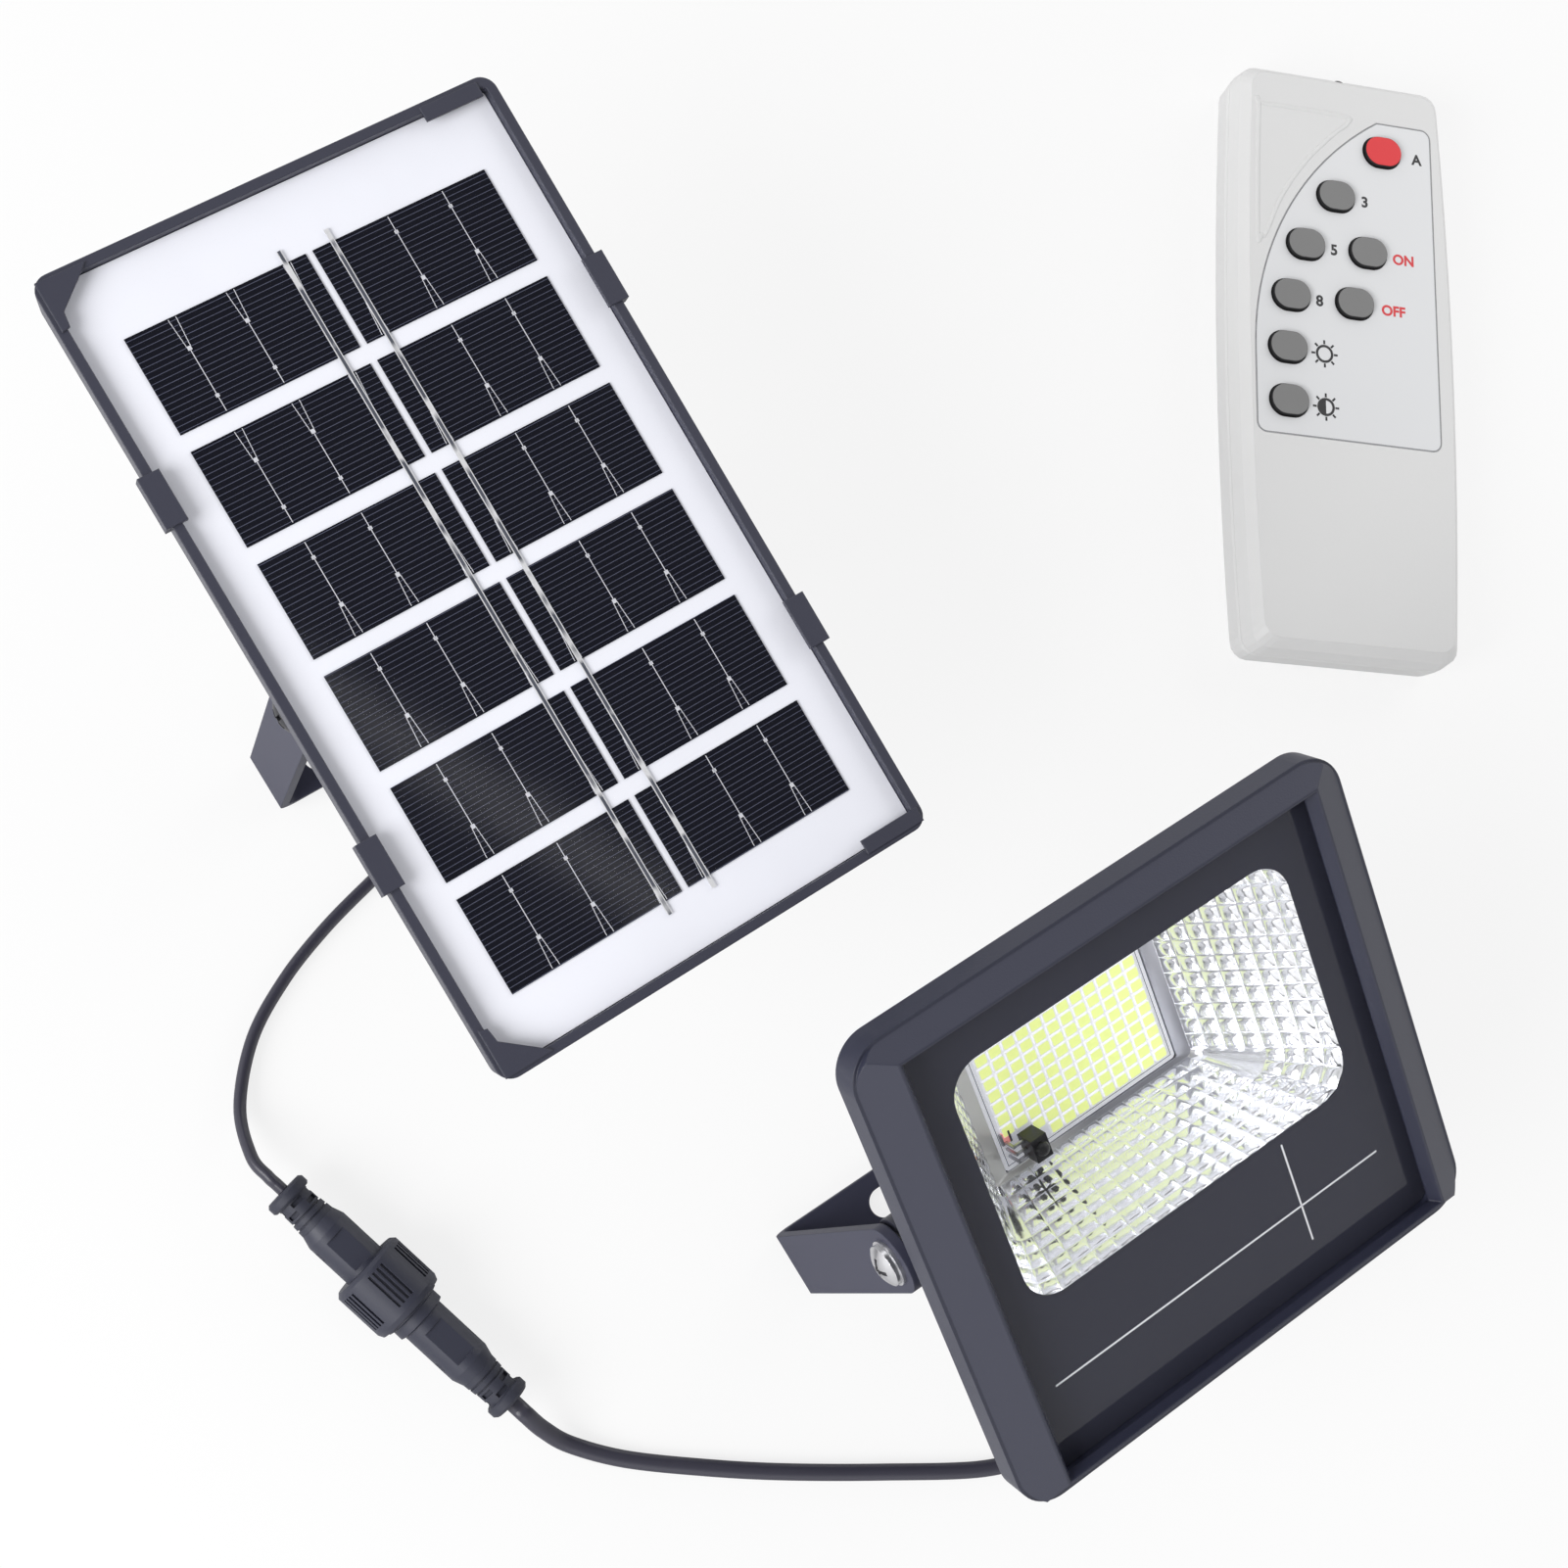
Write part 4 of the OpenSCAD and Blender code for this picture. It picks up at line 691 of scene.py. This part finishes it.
def ribbon_metal():
    """Bright tinned copper, with painted highlights: its edges are painted bright, and its
    middle is painted dark, as a reflection, and bright by turns.
    """
    m = finish("tinned_ribbon_painted_glints", "#e8e8ec", 0.3, metal=0.5, grain=4.0, place=PANEL)
    t = m.node_tree
    mm = local_mm(t, PANEL)
    x = node(t, "SeparateXYZ", {"Vector": mm}).outputs["X"]
    aside = node(t, "Math", {0: x}, operation="ABSOLUTE").outputs["Value"]
    off = node(t, "Math", {0: aside, 1: RIBBON_X}, operation="SUBTRACT").outputs["Value"]
    off = node(t, "Math", {0: off}, operation="ABSOLUTE").outputs["Value"]
    # Painted highlights: the edges and long patches of the middle are painted bright, and the
    # rest of the middle is a painted dark reflection.
    rim = node(t, "MapRange", {"Value": off, "From Min": 0.3, "From Max": 0.45})
    long = node(t, "TexNoise", {"Vector": mm, "Scale": 1 / 7, "Detail": 1.5})
    painted_glint = node(t, "MapRange", {"Value": long.outputs["Fac"], "From Min": 0.5,
                                 "From Max": 0.62})
    most = node(t, "Math", {0: rim.outputs["Result"], 1: painted_glint.outputs["Result"]},
                operation="MAXIMUM")
    mix = node(t, "MixRGB", {"Fac": most.outputs["Value"], "Color1": srgb("#5b5e6a"),
                             "Color2": srgb("#f0f0f3")})
    t.links.new(mix.outputs["Color"], t.nodes["Principled BSDF"].inputs["Base Color"])
    return m


# The backing sheet is white film under the glass, which carries the shine for it.
sheet_white = finish("backing_sheet_white", "#f1f2fa", 0.5, grain=0.8, bump=0.01,
                     Specular_IOR_Level=0.0)
dress(cell_silicon(), "solar_cells")
dress(sheet_white, "panel_backsheet")
dress(ribbon_metal(), "cell_ribbons")
print("cells dressed")

# %% [markdown]
# ### Printed silver
# Three silver bars cross each cell's fingers. Each has a pad near its start and one near
# its end, and then splits into a fork that opens step by step. The bars are printed
# paste a few hundredths thick, so thin boxes on the cells give their outline and edge.

# %% Printed silver
CELL_ROWS, CELL_STEP, CELLS_Y = 6, 28.2, 3.75
CELL_HALF, COLUMN_X = 12, 23.4  # half a cell along y, and each column's middle
BARS = {1: (-17.6, -3.3, 11.0), -1: (-11.0, 3.3, 17.6)}  # by column, from its middle
FORK_STEPS = 7
SILVER_Z = (16.58, 16.64)


def bar_print(bm, x, y0, way):
    """One silver bar of a cell: from its pads to its fork, towards +y if way is 1."""
    def part(x0, x1, a, b):
        low, high = sorted((y0 + way * a, y0 + way * b))
        boxes(bm, [(x + x0, x + x1, low, high)], *SILVER_Z)

    part(-0.1, 0.1, 0.4, 16)
    part(-0.45, 0.45, 3.9, 4.7)
    part(-0.5, 0.5, 15.7, 16.7)
    for s in (-1, 1):
        for k in range(FORK_STEPS):
            d = s * (0.5 + 0.07 * k)
            part(d - 0.08, d + 0.08, 16.6 + k, 17.7 + k)


bm = bmesh.new()
for column, bars in BARS.items():
    for j in range(CELL_ROWS):
        middle = CELLS_Y + (j - (CELL_ROWS - 1) / 2) * CELL_STEP
        way = 1 if column == -1 and j >= 4 else -1
        for b in bars:
            bar_print(bm, column * COLUMN_X + b, middle - way * CELL_HALF, way)
silver = add("silver_print", bm, "panel_head", PANEL)
# Fired silver paste is a pale, even grey.
silver.data.materials.append(finish("silver_paste", "#d2d3da", 0.45, grain=1.0))
print("silver print faces", len(silver.data.polygons))

# %% [markdown]
# ## Print on the lamp glass
# Two thin white rules are printed on the black border under the window. An image could
# carry them, but a rule is only a long thin box, which stays sharp at any distance.
# Words and names are left off, so the border stays plain.

# %% Rules on the glass
GLASS_RULES = ((-51.5, 49.8, -41.7, -41.2), (24.9, 25.4, -51.9, -23.0))
bm = bmesh.new()
boxes(bm, GLASS_RULES, 18.52, 18.56)
rules = add("glass_rules", bm, "lamp_head", LAMP)
rules.data.materials.append(finish("white_print", "#e4e5ea", 0.4, grain=2.0))
print("rules on the glass", len(rules.data.polygons))

# %% [markdown]
# ## The remote
# The shell is pale grey ABS, a printed film lies in a shallow recess, and grey rubber
# keys stand through it. Where a key passes through the film, the gap round it is in
# shade, and a thin black line paints that shade; the keys' upright sides are painted
# black for the same shade. That line could be painted on the film, but a flat ring
# round each key keeps its width from every side.

# %% Remote finishes
# Pale ABS with a fine spark grain looks dry, with a low sheen.
shell = finish("pale_grey_abs", "#e2e2e2", 0.5, grain=0.7, bump=0.035, tone=0.01,
               edge=0.35, place=REMOTE)
# The label is a smooth film, shinier than the shell round it.
label = finish("label_film", "#e3e4e6", 0.3, grain=3.0, bump=0.004, tone=0.008)
# Silicone keys are matt, with a slightly dusty grain.
key_grey = finish("key_rubber_grey", "#7e7e7e", 0.62, grain=0.35, bump=0.03, edge=0.5,
                  place=REMOTE)
key_red = finish("key_rubber_red", "#e2343a", 0.55, grain=0.35, bump=0.03, edge=0.5,
                 place=REMOTE)
dress(shell, "remote_top", "remote_bottom", "remote_battery_cover")
dress(label, "remote_plate")
dress(key_grey, "button_time_a", "button_time_b", "button_on", "button_time_c",
      "button_off", "button_bright", "button_dim")
dress(key_red, "button_auto")


def painted_shade_sides(m):
    """A key's cap keeps its colour, and its upright sides are painted black as shade."""
    t = m.node_tree
    shader = t.nodes["Principled BSDF"]
    cap = shader.inputs["Base Color"].links[0].from_socket
    normal = node(t, "NewGeometry").outputs["Normal"]
    up = node(t, "SeparateXYZ", {"Vector": normal}).outputs["Z"]
    flat = node(t, "Math", {0: up, 1: 0.7}, operation="GREATER_THAN")
    mix = node(t, "MixRGB", {"Fac": flat.outputs["Value"], "Color1": srgb("#18181a"),
                             "Color2": cap})
    t.links.new(mix.outputs["Color"], shader.inputs["Base Color"])


for m in (key_grey, key_red):
    painted_shade_sides(m)
print("remote dressed")

# %% Painted shade in the key gaps and along the label's edge
KEYS = ((11.8, 66.5), (-4, 50.1), (-14.3, 33.5), (6, 33.5), (-19.4, 16.9), (1.1, 16.9),
        (-20.9, 0.6), (-20.9, -15.8))
GAP_INNER, GAP_OUTER = (11.72, 9.12), (12.76, 10.16)  # length and width of a gap's sides
KEY_STEPS = 12  # straight pieces in a key's half circle
PLATE_R = 3  # radius of the label's three round corners
PLATE_CORNERS = ((-28.1, -23.1, 180), (25.2, -23.1, 270), (25.2, 73, 0))
BOW_R, BOW_X, BOW_TOP, BOW_STEPS = 90.3, 59.2, 76, 24  # the label's bowed fourth side


def arc(x, y, r, degrees):
    """Points on a circle at those angles."""
    return [Vector((x + r * math.cos(math.radians(a)), y + r * math.sin(math.radians(a)), 0))
            for a in degrees]


def stadium(w, h):
    """The outline of a key: two half circles and the straight sides between them."""
    out = []
    for side, start in ((1, -90), (-1, 90)):
        out += arc(side * (w - h) / 2, 0, h / 2,
                   [start + 180 * k / KEY_STEPS for k in range(KEY_STEPS + 1)])
    return out


def plate_edge(g):
    """The outline of the label plate, grown by g."""
    bow, out = BOW_R + g, []
    for x, y, start in PLATE_CORNERS:
        out += arc(x, y, PLATE_R + g, [start + a for a in range(0, 91, 15)])
    top = math.degrees(math.asin((BOW_TOP + g) / bow))
    return out + arc(BOW_X, 0, bow, [180 - top * k / BOW_STEPS
                                     for k in range(BOW_STEPS, -1, -1)])


def flat_ring(bm, inner, outer, z0, z1):
    """A closed flat ring between two outlines with the same number of points."""
    rows = [[bm.verts.new((p.x, p.y, z)) for p in line]
            for line, z in ((inner, z0), (outer, z0), (outer, z1), (inner, z1))]
    for a, b in zip(rows, rows[1:] + rows[:1]):
        join_rings(bm, a, b)


bm = bmesh.new()
for x, y in KEYS:
    at = Vector((x, y, 0))
    flat_ring(bm, [p + at for p in stadium(*GAP_INNER)],
              [p + at for p in stadium(*GAP_OUTER)], 19.4, 19.56)
gaps = add("key_gaps", bm, "base", REMOTE)
# A matt black ring: painted shade in the gap round each key.
gaps.data.materials.append(finish("key_gap_painted_shade", "#1a1a1c", 0.7, grain=0.6))
bm = bmesh.new()
flat_ring(bm, plate_edge(-0.32), plate_edge(-0.02), 19.9, 20.03)
rim_line = add("label_edge", bm, "base", REMOTE)
# A thin grey line round the label: painted shade where the film meets its recess.
rim_line.data.materials.append(finish("label_edge_painted_shade", "#8f9093", 0.5, grain=2.0))
print("dark gaps", len(KEYS))

# %% [markdown]
# ### Print on the label
# The print is generic: plain numbers, one letter, ON, OFF, and a full and a half sun. A
# text object gives the letters their true outline. It is made a mesh at once, welded and
# laid on the film, so that its place is kept in the mesh. The suns are built from a
# circle, eight small boxes and, for the half one, a disc cut through its middle.

# %% Print on the label
LABEL_Z = 20.03  # the film's upper face, and a hair
CAPITAL = 0.7  # a capital's height as a share of the font's size
STROKE = 0.045  # how much the strokes are thickened, as a share of the height
SUN_R, SUN_RIM, SUN_RAY, SUN_THICK = 2.05, 1.36, 3.6, 0.04
print_black = finish("black_print", "#1b1b1e", 0.45, grain=2.0)
print_red = finish("red_print", "#d9363c", 0.45, grain=2.0)
MARKS = (("mark_a", "A", 23.4, 65.8, 3.2, print_black),
         ("mark_3", "3", 5.6, 49.6, 3.2, print_black),
         ("mark_5", "5", -5.0, 32.9, 3.2, print_black),
         ("mark_8", "8", -10.2, 16.2, 3.2, print_black),
         ("mark_on", "ON", 17.8, 32.7, 3.1, print_red),
         ("mark_off", "OFF", 13.9, 16.1, 3.1, print_red))


def lay_print(name, bm, x, y, ink_mat):
    """Lays a printed mark on the label and gives it its ink."""
    bmesh.ops.translate(bm, vec=(x, y, LABEL_Z), verts=bm.verts)
    made = add(name, bm, "base", REMOTE)
    made.data.materials.append(ink_mat)


def letters(name, words, x, y, height, ink_mat):
    """Flat printed letters on the label, a twentieth of a millimetre thick."""
    text = bpy.data.curves.new(name, "FONT")
    text.body = words
    text.size = height / CAPITAL
    text.extrude = 0.02
    text.offset = STROKE * height
    text.align_x, text.align_y = "CENTER", "CENTER"
    o = bpy.data.objects.new(name, text)
    bpy.context.scene.collection.objects.link(o)
    bpy.context.view_layer.update()
    me = bpy.data.meshes.new_from_object(o)
    bpy.data.objects.remove(o)
    bm = bmesh.new()
    bm.from_mesh(me)
    bmesh.ops.remove_doubles(bm, verts=bm.verts, dist=0.001)
    lay_print(name, bm, x, y, ink_mat)


def sun(name, x, y, half):
    """A printed sun: a ring with eight rays, half filled for the dim key."""
    bm = bmesh.new()
    bmesh.ops.create_circle(bm, segments=32, radius=SUN_R)
    out = bmesh.ops.extrude_edge_only(bm, edges=bm.edges[:])["geom"]
    outer = [g for g in out if isinstance(g, bmesh.types.BMVert)]
    bmesh.ops.scale(bm, vec=(SUN_RIM, SUN_RIM, 1), verts=outer)
    bmesh.ops.solidify(bm, geom=bm.faces[:], thickness=SUN_THICK)
    for k in range(8):
        turn = Matrix.Rotation(math.radians(45 * k), 4, "Z")
        bmesh.ops.create_cube(bm, size=1, matrix=turn @ Matrix.Translation((SUN_RAY, 0, 0))
                              @ Matrix.Diagonal((1.2, 0.6, SUN_THICK, 1)))
    if half:
        disc = bmesh.ops.create_circle(bm, segments=32, radius=SUN_R + 0.03,
                                       cap_ends=True)["verts"]
        faces = list({f for v in disc for f in v.link_faces})
        edges = list({e for v in disc for e in v.link_edges})
        cut = bmesh.ops.bisect_plane(bm, geom=faces + disc + edges, plane_co=(0, 0, 0),
                                     plane_no=(1, 0, 0), clear_outer=True)
        left = [g for g in cut["geom"] if isinstance(g, bmesh.types.BMFace)]
        bmesh.ops.solidify(bm, geom=left, thickness=SUN_THICK)
    lay_print(name, bm, x, y, print_black)


for mark in MARKS:
    letters(*mark)
sun("mark_bright", -9.1, 0.0, half=False)
sun("mark_dim", -9.1, -16.4, half=True)
print("marks on the label ready")

# %% [markdown]
# ### The raised line on the shell
# A low round ridge follows the free corner of the shell's top. A bevelled curve could
# draw it. Here eight-sided rings are set along a closed smooth line and joined, which
# keeps it one closed mesh that can be flatter than it is wide.

# %% Raised line on the shell
RIDGE_Z, RIDGE_HALF, RIDGE_HIGH = 19.93, 0.75, 0.45  # its height is a share of its width
RIDGE_POINTS = ((-1.2, 76.6), (-26.6, 76.6), (-28.3, 75.0), (-29.6, 35.8), (-28.4, 34.6),
                (-26.9, 35.6), (-21.5, 48.0), (-13.5, 60.0), (-4.2, 70.0), (0.9, 74.6))


def closed_line(points, z, steps):
    """A smooth closed line through points on one level."""
    p = [Vector((x, y, z)) for x, y in points]
    n = len(p)
    return [curve_point(p[i - 1], p[i], p[(i + 1) % n], p[(i + 2) % n], s / steps)
            for i in range(n) for s in range(steps)]


def ridge(line):
    """A round ridge along a closed level line."""
    bm = bmesh.new()
    up = Vector((0, 0, 1))
    turns = [math.pi * k / 4 for k in range(8)]
    rings = []
    for i, p in enumerate(line):
        side = (line[(i + 1) % len(line)] - line[i - 1]).normalized().cross(up)
        rings.append([bm.verts.new(p + RIDGE_HALF * (math.cos(a) * side
                                                     + RIDGE_HIGH * math.sin(a) * up))
                      for a in turns])
    for a, b in zip(rings[-1:] + rings, rings):
        join_rings(bm, a, b)
    return bm


emboss = add("shell_ridge", ridge(closed_line(RIDGE_POINTS, RIDGE_Z, 8)), "base", REMOTE,
             smooth=True)
emboss.data.materials.append(shell)
print("raised line ready")

# %% [markdown]
# ## The floor
# White studio paper under everything. It is large enough to reach past every view. For
# the camera most of it is plain white light, and the rest is a matt surface, so that
# only a soft trace of the object's shadow is left.

# %% Floor
bm = bmesh.new()
bmesh.ops.create_grid(bm, x_segments=1, y_segments=1, size=6000)
bmesh.ops.translate(bm, vec=(0, 0, -0.15), verts=bm.verts)
floor = add("floor", bm)
floor_mat = bpy.data.materials.new("studio_paper")
floor_mat.use_nodes = True
t = floor_mat.node_tree
paper = t.nodes["Principled BSDF"]
paper.inputs["Base Color"].default_value = srgb("#f6f6f6")
paper.inputs["Roughness"].default_value = 0.9
paper.inputs["Specular IOR Level"].default_value = 0.0
path = node(t, "LightPath")
share = node(t, "Math", {0: path.outputs["Is Camera Ray"], 1: 0.8}, operation="MULTIPLY")
plain = node(t, "Emission", {"Color": (1, 1, 1, 1), "Strength": 1.0})
both = node(t, "MixShader", {0: share.outputs["Value"], 1: paper.outputs["BSDF"],
                             2: plain.outputs["Emission"]})
t.links.new(both.outputs["Shader"], t.nodes["Material Output"].inputs["Surface"])
floor.data.materials.append(floor_mat)
print("floor laid")

# %% [markdown]
# ## The world
# The world is a pale dome that is darker overhead, so that glass facing up stays dark.
# Reflections alone also see four soft round panels of light, which give the bright metal
# its contrast, and one narrow strip, which lays a soft streak across the solar cells.
# The camera alone sees plain white. Real lamps could do the same, but they would also
# light the floor and throw shadows of their own.

# %% World
# Each panel of light is its aim, the cosine of its radius and its strength.
PANELS_OF_LIGHT = (((-1, 0.15, 0.55), 0.93, 0.4), ((0.2, 1, 0.75), 0.94, 1.2),
                   ((-0.5, -0.9, 0.6), 0.95, 1.2), ((1, 0.6, 0.5), 0.95, 1.0))
STREAK = (0.857, 0.476, -0.196)  # the strip's plane is square to this direction
world = bpy.data.worlds.new("studio")
bpy.context.scene.world = world
world.use_nodes = True
t = world.node_tree
shade = t.nodes["Background"]
way = node(t, "TexCoord").outputs["Generated"]
up = node(t, "SeparateXYZ", {"Vector": way}).outputs["Z"]
level = node(t, "MapRange", {"Value": up, "From Min": 0.3, "From Max": 0.95,
                             "To Min": 0.85, "To Max": 0.26}).outputs["Result"]


def panel_of_light(aim, cosine, strength, total):
    """Adds a soft round panel of light to the dome, as wide as the cosine says."""
    near = node(t, "VectorMath", {0: way, 1: Vector(aim).normalized()},
                operation="DOT_PRODUCT")
    patch = node(t, "MapRange", {"Value": near.outputs["Value"], "From Min": cosine - 0.01,
                                 "From Max": cosine + 0.01, "To Max": strength})
    return node(t, "Math", {0: total, 1: patch.outputs["Result"]},
                operation="ADD").outputs["Value"]


def strip_of_light(strength, total):
    """Adds a narrow strip of light high on the dome."""
    across = node(t, "VectorMath", {0: way, 1: Vector(STREAK)}, operation="DOT_PRODUCT")
    side = node(t, "Math", {0: across.outputs["Value"]}, operation="ABSOLUTE")
    strip = node(t, "MapRange", {"Value": side.outputs["Value"], "From Min": 0.016,
                                 "From Max": 0.004, "To Max": strength})
    high = node(t, "MapRange", {"Value": up, "From Min": 0.945, "From Max": 0.957})
    piece = node(t, "Math", {0: strip.outputs["Result"], 1: high.outputs["Result"]},
                 operation="MULTIPLY")
    return node(t, "Math", {0: total, 1: piece.outputs["Value"]},
                operation="ADD").outputs["Value"]


mirrored = node(t, "Math", {0: level, 1: 1.25}, operation="MULTIPLY").outputs["Value"]
for aim, cosine, strength in PANELS_OF_LIGHT:
    mirrored = panel_of_light(aim, cosine, strength, mirrored)
mirrored = strip_of_light(3.4, mirrored)
path = node(t, "LightPath")
either = node(t, "Mix", {"Factor": path.outputs["Is Glossy Ray"], "A": level,
                         "B": mirrored}, data_type="FLOAT")
light = node(t, "Mix", {"Factor": path.outputs["Is Camera Ray"],
                        "A": either.outputs["Result"], "B": 1.0}, data_type="FLOAT")
t.links.new(light.outputs["Result"], shade.inputs["Strength"])
shade.inputs["Color"].default_value = (1, 1, 1, 1)
print("world ready, with", len(PANELS_OF_LIGHT), "panels of light")

# %% [markdown]
# ## The lamps
# A large key lamp stands at the left and a weaker fill lamp at the right. Sun or spot
# lamps would draw hard edges, and wide discs near the object keep its shadows soft.

# %% Lamps
def soft_lamp(name, place, aim, size, power):
    """A round area lamp that faces its aim, with its size in metres and power in watts."""
    data = bpy.data.lights.new(name, "AREA")
    data.shape = "DISK"
    data.size = size
    data.energy = power
    o = bpy.data.objects.new(name, data)
    bpy.context.scene.collection.objects.link(o)
    o.location = place
    o.rotation_euler = (Vector(aim) - Vector(place)).to_track_quat("-Z", "Y").to_euler()


LAMP_AIM = (0, 0.05, 0)
soft_lamp("key_lamp", (-1.2, 0.2, 0.8), LAMP_AIM, 0.9, 17)
soft_lamp("fill_lamp", (1.3, 0.3, 0.8), LAMP_AIM, 1.0, 5)
bpy.context.scene.view_settings.view_transform = "Standard"
print("lamps ready")
